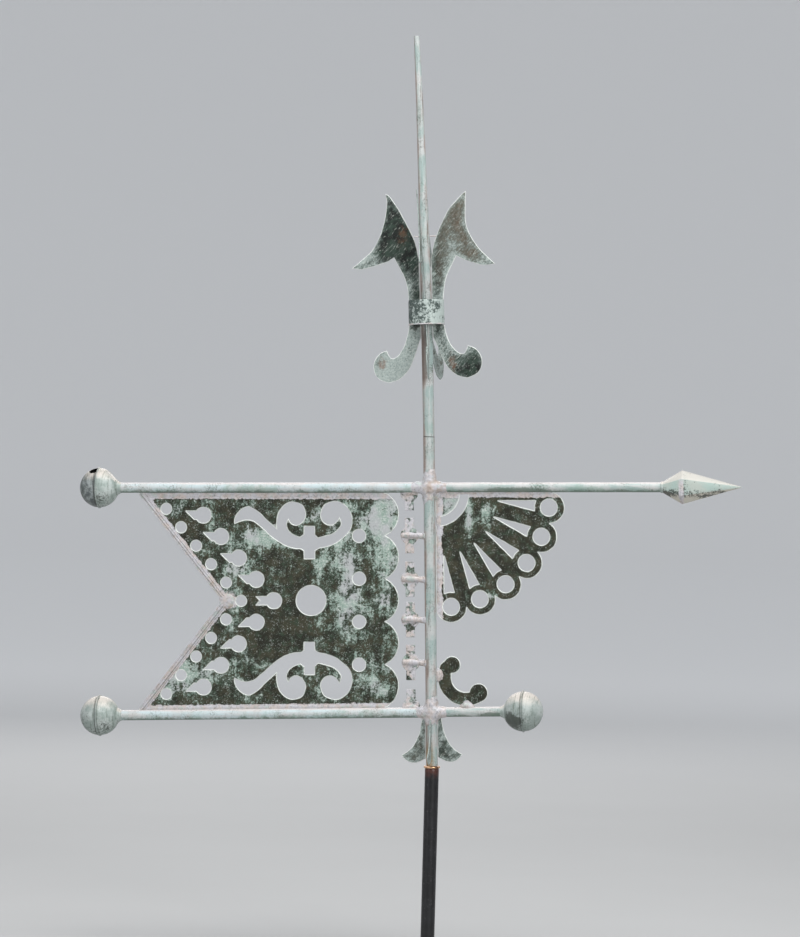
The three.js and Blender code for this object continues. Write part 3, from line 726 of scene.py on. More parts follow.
def ball_material():
    look = Look("ball_copper", 0.45)
    up = look.normal("Z")
    turned = look.noise(1, 7, 0.7, look.stretched(560, 22, 22))
    cloud = look.noise(40, 6, 0.65)
    fine = look.noise(300, 8, 0.78)
    base = look.mix(look.band(cloud, 0.4, 0.6), srgb(146, 158, 152), srgb(184, 192, 188))
    lilac = look.mix(look.band(look.noise(70, 6, 0.7), 0.42, 0.58), srgb(76, 82, 84), srgb(146, 152, 152))
    base = look.mix(look.attribute("grey") * 0.9, base, lilac)
    # Painted highlight: a warm pale colour on the upward-facing top of each ball.
    base = look.over(base, srgb(206, 196, 186), 0.8, up + cloud * 0.9, 0.75, 1.3)
    base = look.over(base, srgb(92, 102, 90), 0.7, turned + fine * 0.5, 0.76, 0.9)
    speck = fine + cloud * 0.45 - up * 0.12 + look.attribute("dark")
    base = look.over(base, srgb(56, 62, 54), 0.85, speck, 0.82, 0.94)
    base = look.mix(look.attribute("seam") * 0.8, base, srgb(48, 52, 46))
    look.bump(turned * 0.8 + fine + cloud * 0.6, 0.0005)
    return look.finish(base, 0.38 + cloud * 0.3, 0.15)


def arrow_material():
    """Pale green in front, with paler sandy facets above and below that are partly their own tone and partly
    painted light, and a patch of solder down the widest edge.
    """
    look = Look("arrow_copper", 0.42)
    up = look.normal("Z")
    cloud = look.noise(32, 5, 0.6)
    fine = look.noise(300, 8, 0.78)
    base = look.mix(look.band(cloud, 0.4, 0.6), srgb(172, 180, 172), srgb(162, 180, 173))
    # Painted light, partly the facets' own warm tone: the upward facets paler and sandy, the downward facets
    # paler still.
    base = look.over(base, srgb(186, 181, 173), 0.85, up + cloud * 0.3, 0.45, 0.75)
    base = look.over(base, srgb(194, 188, 175), 0.85, up * -1, 0.35, 0.7)
    low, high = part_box("arrowhead")
    depth = (look.along("Z") - (low.z + high.z) / 2) * (-1 / (high.z - low.z))
    edge_dark = look.band(depth, -0.02, 0.16) - look.band(depth, 0.24, 0.36)
    dark = fine * 1.3 + look.noise(60, 4) * 0.6 + edge_dark * 0.22
    base = look.over(base, srgb(54, 60, 54), 0.9, dark, 1.09, 1.17)
    ridge_x = max(nodes["arrowhead"].data.vertices, key=lambda v: v.co.z).co.x
    off_ridge = look.math("ABSOLUTE", look.along("X") - (ridge_x + 0.001))
    off_ridge = look.ragged(off_ridge, 0.012, look.noise(90, 4))
    dab = (1 - look.band(off_ridge, 0.003, 0.0055)) * look.band(depth, -0.3, -0.12)
    base = look.mix(dab, base, solder_tone(look))
    look.bump(fine + cloud * 0.6, 0.0004)
    return look.finish(base, 0.36 + cloud * 0.25, 0.12)


def collar_material():
    look = Look("collar_copper", 0.5)
    cloud = look.noise(60, 6, 0.65)
    grain = look.noise(240, 7, 0.7)
    # Painted light: the normal's x term makes the right-facing side of the band paler.
    wet = cloud * 1.1 + grain * 0.7 + look.normal("X") * 0.13
    colour = look.mix(look.band(wet, 0.78, 1.0), srgb(68, 80, 76), srgb(176, 187, 182))
    colour = look.over(colour, PALE, 0.5, grain, 0.56, 0.66)
    look.bump(grain + cloud, 0.0005)
    return look.finish(colour, 0.42 + grain * 0.2, 0.2)


def solder_material():
    look = Look("solder_grey", 0.45)
    pit = look.noise(380, 7, 0.75) + look.noise(40, 3) * 0.35
    colour = look.over(solder_tone(look), srgb(104, 104, 98), 0.7, pit, 0.74, 0.82)
    colour = look.over(colour, srgb(160, 176, 168), 0.55, look.noise(60, 6, 0.65), 0.52, 0.64)
    colour = look.over(colour, srgb(158, 138, 120), 0.6, look.noise(42, 5, 0.6), 0.56, 0.68)
    # Painted shade: darker along the groove of the folded strips.
    colour = look.mix(look.attribute("groove") * 0.5, colour, srgb(104, 106, 102))
    look.bump(look.noise(240, 7, 0.65) + look.noise(75, 3) * 1.2, 0.0007)
    return look.finish(colour, 0.36 + look.noise(110, 4) * 0.25, 0.2)


def pole_material():
    look = Look("pole_iron", 0.3)
    grain = look.noise(240, 6, 0.6)
    colour = look.mix(look.band(look.noise(60, 5), 0.4, 0.65), srgb(11, 11, 13), srgb(24, 24, 27))
    wear_and_rim_highlight = look.ragged(look.along("Z"), 0.03, look.noise(150, 6, 0.7))
    colour = look.over(colour, srgb(82, 44, 34), 0.9, wear_and_rim_highlight, 0.335, 0.352)
    colour = look.over(colour, srgb(74, 72, 74), 0.5, grain + look.noise(22, 3) * 0.4, 0.8, 0.9)
    look.bump(grain + look.noise(50, 3) * 0.8, 0.0003)
    return look.finish(colour, 0.24 + grain * 0.22, 0.1)


def ring_material():
    look = Look("ring_brass", 0.3, 1.0)
    turned = look.noise(1, 5, 0.6, look.stretched(40, 40, 900))
    colour = look.mix(look.band(turned, 0.4, 0.65), srgb(214, 160, 116), srgb(238, 206, 176))
    colour = look.over(colour, srgb(104, 66, 44), 0.8, look.noise(140, 5, 0.65), 0.5, 0.62)
    look.bump(turned, 0.0002)
    return look.finish(colour, 0.2 + turned * 0.2)


sheet_copper = sheet_material()
arm_copper = tube_material("arm_copper", (9, 130, 130), 0.3, 0.55)
mast_copper = tube_material("mast_copper", (150, 150, 7), 1.0, 0.22)
leaf_copper = leaf_material()
ball_copper = ball_material()
arrow_copper = arrow_material()
collar_copper = collar_material()
solder_grey = solder_material()
pole_iron = pole_material()
ring_brass = ring_material()


# Where the sheets are pale, brown or soldered, in millimetres of the vane's own frame
def to_vane(p):
    """A place in the scene as x and z in the vane's own frame, in millimetres."""
    c, s = math.cos(VANE_LEAN), math.sin(VANE_LEAN)
    x, z = p.x, p.z - SEAT
    return (x * c + z * s) / MM, (-x * s + z * c) / MM


def fade(value, near, far):
    """1 up to near, 0 from far on."""
    return min(1.0, max(0.0, (far - value) / (far - near)))


def spot(x, z, at_x, at_z, size_x, size_z):
    return math.exp(-((x - at_x) / size_x) ** 2 - ((z - at_z) / size_z) ** 2)


def summed(x, z, spots):
    return sum(spot(x, z, *spread) * amount for *spread, amount in spots)


TAIL_X, NOTCH_X = -543.1, -385.2
ARM_TOP, ARM_BOTTOM = 490, 105.5
PANEL_SLOPE = math.tan(math.radians(1.2))
FAN_X, FAN_REACH = 10, 212
LEAF_X, LEAF_Z = -10.5, 814

# Each spot: x, z, half width, half height, strength
PANEL_PALE = (
    (-95, 440, 38, 60, 0.32), (-165, 395, 26, 70, 0.2), (-150, 250, 32, 60, 0.2),
    (-80, 300, 26, 160, 0.14), (-310, 405, 40, 26, 0.22), (-355, 350, 30, 50, 0.16),
    (-210, 345, 16, 26, 0.2), (-150, 330, 20, 20, 0.16), (-425, 175, 70, 34, 0.2),
    (-440, 250, 26, 26, 0.12), (-470, 455, 40, 14, 0.1), (-200, 152, 50, 20, 0.12),
    (-400, 420, 24, 40, 0.1), (-365, 268, 14, 40, 0.18), (-105, 150, 30, 40, 0.12),
    (-480, 470, 30, 12, 0.1), (-480, 150, 40, 40, 0.16), (-250, 455, 20, 14, 0.2),
    (-190, 455, 16, 14, 0.16),
)
PANEL_DARK = (
    (-300, 235, 44, 34, 0.3), (-240, 345, 26, 40, 0.1), (-265, 295, 36, 26, 0.16),
    (-465, 420, 34, 30, 0.3), (-430, 350, 30, 20, 0.1), (-120, 215, 22, 40, 0.14),
    (-330, 300, 22, 22, 0.12), (-280, 130, 24, 16, 0.2), (-170, 190, 30, 18, 0.1),
)
FAN_PALE = (
    (68, 440, 9, 60, 0.42), (100, 458, 20, 22, 0.26), (175, 445, 28, 12, 0.16),
    (214, 470, 18, 20, 0.24), (36, 470, 16, 20, 0.2), (110, 330, 8, 40, 0.16),
    (150, 380, 24, 10, 0.14), (70, 350, 8, 30, 0.16),
)
LEFT_LEAF = (
    (-108, 92, 26, 20, 0.34), (-60, 215, 14, 40, 0.1), (-95, 130, 26, 20, 0.12),
    (-60, -120, 44, 60, 0.72), (-30, -50, 34, 30, 0.4), (-30, 50, 12, 44, 0.2),
)
# Partly dark tone, partly painted shadow of the front leaf on the left leaf near the spire.
LEFT_SHADE_AND_DARK = ((-70, 150, 26, 40, 0.12), (-34, 130, 14, 40, 0.12))
LEFT_RUST = ((-42, 140, 15, 30, 0.6), (-80, -92, 10, 16, 0.75))
RIGHT_LEAF = (
    (48, 90, 16, 50, 0.22), (40, 30, 20, 40, 0.2), (34, -60, 30, 30, 0.22), (110, 92, 14, 12, 0.2),
)
RIGHT_DARK = ((92, -108, 24, 20, 0.34),)
RIGHT_RUST = ((48, -92, 12, 24, 0.7), (60, 150, 14, 30, 0.4))


def panel_look(p):
    x, z = to_vane(p)
    bottom = ARM_BOTTOM + PANEL_SLOPE * x
    half = (ARM_TOP - bottom) / 2
    centre = (ARM_TOP + bottom) / 2
    notch = TAIL_X + (NOTCH_X - TAIL_X) * (1 - abs(z - centre) / half)
    slant = (x - notch) * half / math.hypot(half, NOTCH_X - TAIL_X)
    solder = max(fade(ARM_TOP - z, 7, 15), fade(z - bottom, 5, 11), fade(slant, 10, 17))
    solder = max(solder, 0.9 * fade(math.hypot(x - NOTCH_X - 12, z - centre), 6, 24))
    pale = summed(x, z, PANEL_PALE) - summed(x, z, PANEL_DARK)
    return pale + 0.02, 0.0, solder


def fan_look(p):
    x, z = to_vane(p)
    reach = math.hypot(x - FAN_X, ARM_TOP - z)
    solder = max(fade(ARM_TOP - z, 4, 11), fade(x + 5 * clump(p, 0.03), 15, 23))
    lobes = fade(abs(reach - FAN_REACH), 10, 34) * max(0.0, clump(p, 0.012, 7.0))
    return 1.2 * summed(x, z, FAN_PALE) + 0.45 * lobes - 0.14, 0.0, solder


def gusset_look(p):
    x, z = to_vane(p)
    return 0.3, 0.0, max(fade(ARM_TOP - z, 5, 12), fade(x, 16, 24))


def bracket_look(p):
    x, z = to_vane(p)
    solder = max(fade(math.hypot(x - 10, z - 163), 8, 14), fade(math.hypot(x - 64, z - 108), 7, 12))
    return -0.03 + 0.14 * clump(p, 0.03), 0.0, solder


def spool_look(p):
    bare = 0.8 * max(0.0, clump(p, 0.013, 5.0)) + 0.3 * max(0.0, clump(p, 0.006, 2.0))
    return 0.2, 0.0, 0.62 - bare


def leaf_look(side):
    """How a finial leaf looks. The leaf material reads the third number as rust."""
    def look(p):
        x, z = to_vane(p)
        up = z - LEAF_Z
        out = x - LEAF_X
        if side == "left":
            # The left leaf is painted darker overall than the right one: partly its own tone, partly painted
            # shadow of the front leaf.
            pale = summed(out, up, LEFT_LEAF) - summed(out, up, LEFT_SHADE_AND_DARK) - 0.1
            return pale, 0.25 * fade(up, -40, -10), summed(out, up, LEFT_RUST)
        if side == "right":
            pale = summed(out, up, RIGHT_LEAF) - summed(out, up, RIGHT_DARK) + 0.02
            tan = fade(-up, -70, -20) * fade(abs(out - 66), 30, 60)
            return pale, 0.9 * tan, summed(out, up, RIGHT_RUST)
        return 0.2, 0.8, 0.0
    return look


def base_leaf_look(side):
    def look(p):
        x, _ = to_vane(p)
        if side == "left":
            return 0.1 + 0.26 * clump(p, 0.01, 8.0), 0.4, 0.0
        if side == "right":
            return 0.05 * fade(-x, -22, -12) + 0.26 * clump(p, 0.011, 3.0) + 0.03, 0.1, 0.0
        return 0.26, 0.9, 0.0
    return look


def sheets():
    fine, coarse, middling = 1.6 * MM, 4.5 * MM, 3 * MM
    front, from_side = (0, -1, 0), (1, 0, 0)
    for node, grid, look, buckle in (
        ("banner_panel", coarse, panel_look, 0.9 * MM),
        ("fan", coarse, fan_look, 0.6 * MM),
        ("corner_gusset", coarse, gusset_look, 0.0),
        ("scroll_bracket", middling, bracket_look, 0.4 * MM),
    ):
        sheet_piece(node, front, grid, fine, "sheet_copper", sheet_copper, look, buckle)
    for node in [f"spool_{i}" for i in range(1, 5)] + ["half_spool_top", "half_spool_bottom"]:
        sheet_piece(node, front, middling, 1.3 * MM, "tube_copper", sheet_copper, spool_look, rim_highlight_offset=3 * MM)
    for side in ("left", "right", "front", "rear"):
        way, leaf_rim_offset = (front, 0.0) if side in ("left", "right") else (from_side, 1.6 * MM)
        for node, grid, look, buckle in (
            (f"finial_leaf_{side}", 3.5 * MM, leaf_look(side), 0.7 * MM),
            (f"base_leaf_{side}", middling, base_leaf_look(side), 0.4 * MM),
        ):
            sheet_piece(node, way, grid, fine, "leaf_copper", leaf_copper, look, buckle, leaf_rim_offset)


def tubes():
    """The mast, the spire and the four arms, from the rings of their own nodes."""
    bottom, radius = end_ring("mast", -Z_AXIS)
    top, _ = end_ring("mast", Z_AXIS)
    path = straight(bottom, top, 8 * MM)
    tube("mast_tube", path, [radius] * len(path), 1.7 * MM, mast_copper, "mast", seed=1)
    path, radii = node_rings("spire")
    path, radii = finer(path, radii, 6)
    tube("spire_tube", path, radii, 1.4 * MM, mast_copper, "spire", 32, seed=2)
    for height in ("top", "bottom"):
        for side, way in (("left", -1), ("right", 1)):
            node = f"arm_{height}_{side}"
            far, radius = end_ring(node, X_AXIS * way)
            path = straight(far, near_end(node, way), 8 * MM)
            tube(node + "_tube", path, [radius] * len(path), 0, arm_copper, node, 36, seed=way * 3)


def node_rings(node):
    """Centres and radii of the rings of points that an upright tube node is made of."""
    co = node_points(node)
    co = co[np.argsort(co[:, 2])]
    cuts = np.nonzero(np.diff(co[:, 2]) > 2 * MM)[0] + 1
    path, radii = [], []
    for ring in np.split(co, cuts):
        if len(ring) >= 12 and ring[:, 2].max() - ring[:, 2].min() < 4 * MM:
            path.append(Vector(middle_of(ring)))
            radii.append(float(ring[:, 1].max()))
    return path, radii


def near_end(node, way):
    """The end of an arm that meets the mast, a little inside the mast's wall."""
    co = node_points(node)
    side = -way * co[:, 0]
    end = co[side > side.max() - 12 * MM]
    return Vector((end[:, 0].min() if way > 0 else end[:, 0].max(), 0, middle_of(end)[2]))


def on_arm(node, way, x):
    """The point at x of an arm's axis, the arm's direction to the mast and its radius."""
    far, radius = end_ring(node, X_AXIS * way)
    run = near_end(node, way) - far
    return far + run * ((x - far.x) / run.x), run.normalized(), radius


def finer(path, radii, times):
    """The same line with more points between, on a smooth curve."""
    points = np.array([(*p, r) for p, r in zip(path, radii)])
    out = []
    for i in range(len(points) - 1):
        a, b = points[i], points[i + 1]
        before = points[max(0, i - 1)]
        after = points[min(len(points) - 1, i + 2)]
        for k in range(times):
            start, end, leaving, arriving = hermite(k / times)
            out.append(start * a + leaving * (b - before) / 2 + end * b + arriving * (after - a) / 2)
    out.append(points[-1])
    return [Vector(p[:3]) for p in out], [float(p[3]) for p in out]


sheets()
tubes()


# Balls: two spun half shells meet in a standing seam
BALL_RADIUS = 35.7 * MM
BALL_WALL = 1.3 * MM
BITE = Vector((-4, -13, 33)) * MM
BITE_RADIUS = 13 * MM
DENT_DIRECTION = Vector((0.732, 0, 0.681))
DENT_LIMIT = (35.7 - 4.6) * MM

# Each ball: arm, side of the mast, broken or not, then in pairs for the outer and the inner half
# how grey it is and how dark its seam, then dark spots as place, spread and strength
BALLS = (
    ("top_left", 1, True, (1.0, 0.0), (1.2, 0.3),
     (((0.2, -0.8, -0.6), 0.12, 0.1), ((-0.9, -0.5, 0), 0.3, 0.05))),
    ("bottom_left", 1, False, (0.2, 0.0), (1.1, 0.6),
     (((-0.8, -0.4, -0.4), 0.3, 0.1), ((0.5, -0.7, -0.6), 0.1, 0.1))),
    ("bottom_right", -1, False, (0.15, 0.25), (0.5, 0.6),
     (((-0.55, -0.75, -0.4), 0.16, 0.42), ((-0.1, -0.9, -0.4), 0.06, 0.22))),
)


def ball_profile():
    """Radius and place along the axis for every ring of a half: the lip, the outside, the inside."""
    rows = 22
    lip, lip_width, seam = BALL_RADIUS + 1.7 * MM, 0.7 * MM, 0.15 * MM
    inner = BALL_RADIUS - BALL_WALL
    start, near_pole = math.asin(lip_width / BALL_RADIUS) + 0.03, math.pi / 2 - 0.06
    profile = [(inner, seam), (lip, seam), (lip, lip_width)]
    for radius, first, last in ((BALL_RADIUS, start, near_pole), (inner, near_pole, 0.05)):
        profile += [(radius * math.cos(a), radius * math.sin(a)) for a in np.linspace(first, last, rows)]
    return profile


def bitten(place):
    """Whether a place on the broken ball lies in its torn opening."""
    return (place - BITE).length < BITE_RADIUS + 2.2 * MM * clump(place, 0.006, 2.0)


def spot_sum(place, spots):
    return sum(a * math.exp(-(place / BALL_RADIUS - Vector(d)).length_squared / w) for d, w, a in spots)


def half_ball(name, centre, axis, way, broken, grey, seam_dark, dark_spots):
    """way is -1 for the half on the far side of the seam, away from the arrow."""
    sides, seam_row = 72, 3
    up = Y_AXIS.cross(axis) * -1
    rings, seams, darks = [], [], []
    for row, (radius, along) in enumerate(ball_profile()):
        rings.append([])
        for k in range(sides):
            angle = 2 * math.pi * k / sides
            local = axis * (way * along) + (up * math.cos(angle) + Y_AXIS * math.sin(angle)) * radius
            if broken and way > 0:
                inside_wall = radius**2 + along**2 < (BALL_RADIUS - BALL_WALL / 2) ** 2
                limit = DENT_LIMIT - (BALL_WALL if inside_wall else 0)
                local -= DENT_DIRECTION * (max(0.0, local.dot(DENT_DIRECTION) - limit) * 0.9)
            elif broken:
                local += axis * (-0.0012 * max(0.0, math.cos(angle + 0.6)) * (1 - along / BALL_RADIUS))
            wobble = 0.25 * MM * clump(local + centre, 0.02, 6.0)
            rings[-1].append(centre + local + local.normalized() * wobble)
            seams.append(seam_dark if row == seam_row else 0.0)
            darks.append(spot_sum(local, dark_spots))
    verts, faces = closed_grid(rings)
    if broken and way < 0:
        faces = [f for f in faces if not bitten(sum((verts[i] for i in f), Vector()) / 4 - centre)]
    attributes = {"grey": [grey] * len(verts), "seam": seams, "dark": darks}
    obj = piece(name + "_shell", verts, faces, "ball_copper", ball_copper, name, attributes)
    close_holes(obj)
    sharpen(obj, 40)


def close_holes(obj):
    """Joins the torn edge of the outer wall to the inner wall, and drops loose points."""
    with editing(obj.data) as made:
        bmesh.ops.delete(made, geom=[v for v in made.verts if not v.link_faces], context="VERTS")
        open_edges = [e for e in made.edges if len(e.link_faces) == 1]
        if open_edges:
            bmesh.ops.bridge_loops(made, edges=open_edges)
        bmesh.ops.recalc_face_normals(made, faces=made.faces)


def balls():
    for name, way, broken, grey, seam_dark, dark_spots in BALLS:
        inner, outer = f"ball_{name}_inner", f"ball_{name}_outer"
        low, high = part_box(inner)
        other_low, other_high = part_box(outer)
        seam_x = (low.x + other_high.x) / 2 if way > 0 else (high.x + other_low.x) / 2
        centre, run, _ = on_arm(f"arm_{name}", -way, seam_x)
        for node, side, i in ((inner, way, 1), (outer, -way, 0)):
            half_ball(node, centre, run * way, side, broken, grey[i], seam_dark[i], dark_spots)


def arrowhead():
    """The faces of the frame's arrowhead with its ridges softened."""
    obj = placed("arrowhead_soft", nodes["arrowhead"].data.copy())
    with editing(obj.data) as made:
        bmesh.ops.remove_doubles(made, verts=made.verts, dist=WELD)
        bmesh.ops.dissolve_limit(made, angle_limit=0.02, verts=made.verts, edges=made.edges)
        sharp = [e for e in made.edges if len(e.link_faces) == 2 and e.calc_face_angle(0) > 0.3]
        bmesh.ops.bevel(made, geom=sharp, offset=0.5 * MM, segments=2, affect="EDGES", profile=0.5)
        bmesh.ops.triangulate(made, faces=made.faces)
        long_edges = [e for e in made.edges if e.calc_length() > 8 * MM]
        bmesh.ops.subdivide_edges(made, edges=long_edges, cuts=3, use_grid_fill=True)
    dress(obj, "ball_copper", arrow_copper, "arrowhead")
    sharpen(obj, 30)


# Folded strips along the swallow tail
FOLD_GROOVE = 0.42


def fold_height(share):
    """Thickness across a strip, with a shallow groove on each side of its middle."""
    groove = 1 - 0.42 * math.exp(-((abs(share) - FOLD_GROOVE) / 0.13) ** 4)
    return groove * (0.7 if abs(share) == 1 else 1)


def notch_strips():
    for node, way in (("notch_strip_upper", 1), ("notch_strip_lower", -1)):
        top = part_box(node)[1].y
        co = node_points(node)
        rise = way * co[:, 2]
        tail = co[rise > rise.max() - 1.5 * MM]
        apex = co[rise < rise.min() + 1.5 * MM]
        start, end = (Vector((middle_of(p)[0], 0, p[:, 2].mean())) for p in (tail, apex))
        across = Y_AXIS.cross((end - start).normalized())
        half = (tail[:, 0].max() - tail[:, 0].min()) / 2 * abs(across.x)
        crest = [(s, top * fold_height(s)) for s in np.linspace(-1, 1, 25)]
        profile = crest + [(s, -d) for s, d in crest[::-1]]
        rings = []
        for p in straight(start, end, 3 * MM):
            width = half * (1 + 0.05 * clump(p, 0.012))
            rings.append([p + across * (width * s) + Y_AXIS * d for s, d in profile])
        verts, faces = loft(rings)
        groove = [math.exp(-((s - FOLD_GROOVE) / 0.2) ** 2) for s, _ in profile] * len(rings)
        groove += [0.0] * (len(verts) - len(groove))
        obj = piece(node + "_fold", verts, faces, "tube_copper", solder_grey, node, {"groove": groove})
        sharpen(obj, 60)


# Collar, brace wire, spool arms, pole and ring
def spun(name, centre, axis, profile, sides, slot, material, node, body="vane", rough=0.0):
    """A turned piece: the profile is a closed list of (radius, height) about the centre."""
    a, b = frame_across(axis)
    rings = []
    for k in range(sides):
        angle = 2 * math.pi * k / sides
        out = a * math.cos(angle) + b * math.sin(angle)
        rings.append([])
        for r, h in profile:
            uneven = r + rough * clump(out * r + axis * h, 0.012)
            rings[-1].append(centre + out * uneven + axis * h)
    verts, faces = closed_grid(rings)
    sharpen(piece(name, verts, faces, slot, material, node, body=body), 40)


def circle(centre, axis, radius, count):
    a, b = frame_across(axis)
    turns = np.linspace(0, 2 * math.pi, count, endpoint=False)
    return [centre + (a * math.cos(t) + b * math.sin(t)) * radius for t in turns]


def closed_bead(name, path, radius, wobble):
    """A round bead of solder of uneven thickness along a closed path."""
    rings = []
    for i, p in enumerate(path):
        along = (path[(i + 1) % len(path)] - path[i - 1]).normalized()
        rings.append(circle(p, along, radius * (1 + wobble * clump(p, 0.008, 3.0)), 10))
    piece(name, *closed_grid(rings), "tube_copper", solder_grey)


def collar():
    co = node_points("finial_collar")
    middle = middle_of(co)[2]
    axis = Vector(middle_of(co[co[:, 2] > middle]) - middle_of(co[co[:, 2] <= middle])).normalized()
    low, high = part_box("finial_collar")
    centre = (low + high) / 2
    half = (high.z - low.z) / 2 * 0.98
    radius = (high.y - low.y) / 2
    wall, rim, rows = 1.5 * MM, 0.5 * MM, 12
    heights = np.linspace(-half, half, rows)
    profile = [(radius - (rim if i in (0, rows - 1) else 0), h) for i, h in enumerate(heights)]
    profile += [(radius - wall, h) for h in heights[::-1]]
    spun("finial_collar_band", centre, axis, profile, 72, "leaf_copper", collar_copper, "finial_collar",
         rough=0.5 * MM)
    rim_line = circle(centre - axis * (half - 1.2 * MM), axis, radius - 0.7 * MM, 64)
    closed_bead("collar_lower_rim", rim_line, 1.3 * MM, 0.25)


def brace():
    co = node_points("brace_wire")
    left = Vector(co[co[:, 0] < co[:, 0].min() + 1 * MM].mean(0))
    right = Vector(co[co[:, 0] > co[:, 0].max() - 1 * MM].mean(0))
    bend = Vector((0, 0.25, 0.35)) * MM
    path = [p + bend * clump(p, 0.006) for p in straight(left, right, 1.5 * MM)]
    radii = [0.95 * MM] * len(path)
    tube("brace_wire_rod", path, radii, 0, solder_grey, "brace_wire", 12, 0.1 * MM)
    return left, right


def spool_arms():
    for i in range(1, 5):
        node = f"spool_arm_{i}"
        low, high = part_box(node)
        z = (low.z + high.z) / 2
        radius = (high.y - low.y) / 2
        start = Vector((low.x + 0.3 * MM, 0, z))
        end = Vector((high.x + 1.5 * MM, 0, z))
        path = straight(start, end, 1.5 * MM)
        radii = []
        for p in path:
            blunt = math.sqrt(min(1.0, ((p - start).length + 0.6 * MM) / (4 * MM)))
            radii.append(radius * blunt * (1 + 0.05 * clump(p, 0.01)))
        tube(node + "_rod", path, radii, 0, solder_grey, node, 20, 0.3 * MM, i)


def pole_and_ring():
    low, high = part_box("pole")
    ring_low, ring_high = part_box("pole_ring")
    radius, spindle, hub = high.x, 6 * MM, 0.02 * MM
    shoulder = ring_low.z - 0.3 * MM
    profile = [(hub, low.z), (radius - 0.5 * MM, low.z), (radius, low.z + 0.5 * MM)]
    profile += [(radius, z) for z in np.linspace(low.z + 8 * MM, shoulder - 6 * MM, 30)]
    profile += [(radius, shoulder - 1.4 * MM), (radius - 0.5 * MM, shoulder - 0.4 * MM)]
    profile += [(radius - 1.4 * MM, shoulder), (spindle, shoulder), (spindle, high.z - 1 * MM)]
    profile += [(spindle - 1 * MM, high.z), (hub, high.z)]
    spun("pole_rod", Vector(), Z_AXIS, profile, 56, "pole_iron", pole_iron, "pole", "pole", 0.12 * MM)
    wide, inner, r = ring_high.x, spindle + 0.3 * MM, 0.9 * MM
    half = [(inner, 0), (wide - r, 0), (wide - 0.25 * r, 0.25 * r), (wide, r)]
    profile = [(x, ring_low.z + z) for x, z in half] + [(x, ring_high.z - z) for x, z in half[::-1]]
    spun("pole_ring_turned", Vector(), Z_AXIS, profile, 64, "ring_brass", ring_brass, "pole_ring", "pole")


balls()
arrowhead()
notch_strips()
collar()
brace_left, brace_right = brace()
spool_arms()
pole_and_ring()


# Solder: lumps made by fusing rough shapes and letting them slump
def fused(name, shapes, voxel, slump, rough=0.5 * MM, slot="tube_copper", material=solder_grey):
    """shapes are (kind, centre, size vector, axis): balls and rods that are fused into one lump."""
    made = bmesh.new()
    for kind, centre, size, axis in shapes:
        turn = axis.to_track_quat("Z", "Y").to_matrix().to_4x4()
        place = Matrix.Translation(centre) @ turn @ Matrix.Diagonal((*size, 1))
        if kind == "ball":
            bmesh.ops.create_icosphere(made, subdivisions=3, radius=1, matrix=place)
        else:
            unit = {"radius1": 1, "radius2": 1, "depth": 2}
            bmesh.ops.create_cone(made, cap_ends=True, segments=28, matrix=place, **unit)
    mesh = bpy.data.meshes.new(name)
    made.to_mesh(mesh)
    made.free()
    obj = placed(name, mesh)
    remesh = obj.modifiers.new("fuse", "REMESH")
    remesh.mode = "VOXEL"
    remesh.voxel_size = voxel
    relax = obj.modifiers.new("slump", "SMOOTH")
    relax.factor = 0.5
    relax.iterations = slump
    graph = bpy.context.evaluated_depsgraph_get()
    final = bpy.data.meshes.new_from_object(obj.evaluated_get(graph))
    obj.modifiers.clear()
    obj.data = final
    for v in final.vertices:
        v.co += v.normal * rough * clump(v.co, 0.006, 1.7)
    dress(obj, slot, material)


def lump(centre, size, axis=Z_AXIS, kind="ball"):
    """A shape for fused, with its half sizes in millimetres."""
    return kind, centre, Vector(size) * MM, axis


def crossings():
    """Solder round the mast where the two arms cross it."""
    mast_lean = math.radians(0.55)
    for name, height, slope, reach in (("upper", 500, 0.1, 24), ("lower", 96, 1.2, 21)):
        x = -math.tan(mast_lean) * height
        centre = vane(x, height)
        run = vane(x + 1, height + math.tan(math.radians(slope))) - centre
        rise = vane(x, height + 1) - centre
        shapes = [
            lump(centre, (13.2, 13.0, 2.0 * reach), rise),
            lump(centre, (12.4, 12.2, 2.0 * reach), run),
            lump(centre, (19, 14.5, 19), rise),
        ]
        fused(f"solder_{name}_crossing", shapes, 1.2 * MM, 14, rough=0.7 * MM)


def seam_band(name, start, end, half_width, wobble, seed):
    """A flat fillet of solder that wraps a sheet's edge along a straight seam."""
    half_depth = 1.7 * MM
    path = straight(start, end, 2.5 * MM)
    across = Y_AXIS.cross((end - start).normalized())
    rings = []
    for i, p in enumerate(path):
        ends = min(1.0, (min(i, len(path) - 1 - i) + 0.3) / 3)
        half = half_width * (1 + wobble * clump(p, 0.014, seed)) * ends**0.5
        deep = half_depth * (1 + 0.3 * clump(p, 0.01, seed + 4)) * ends**0.5
        ring = []
        for t in np.linspace(0, 2 * math.pi, 20, endpoint=False):
            c, s = math.cos(t), math.sin(t)
            ring.append(p + across * (half * c) + Y_AXIS * (deep * math.copysign(abs(s) ** 0.8, s)))
        rings.append(ring)
    piece(name, *loft(rings), "tube_copper", solder_grey)


def seams():
    top, low = ARM_TOP - 3.5, ARM_BOTTOM + 2
    tail, head = -536, -84
    for name, start, end, half_width, wobble, seed in (
        ("panel_top", (tail, top - 0.9), (head, top), 5.5, 0.25, 1),
        ("panel_bottom", (tail, low + tail * PANEL_SLOPE), (head, low + head * PANEL_SLOPE), 4.2, 0.3, 2),
        ("fan_top", (12, ARM_TOP + 0.6), (218, ARM_TOP + 0.8), 3.2, 0.4, 3),
        ("fan_side", (11.5, 486), (13.5, 286), 4.4, 0.45, 4),
    ):
        seam_band(f"solder_{name}", vane(*start), vane(*end), half_width * MM, wobble, seed)


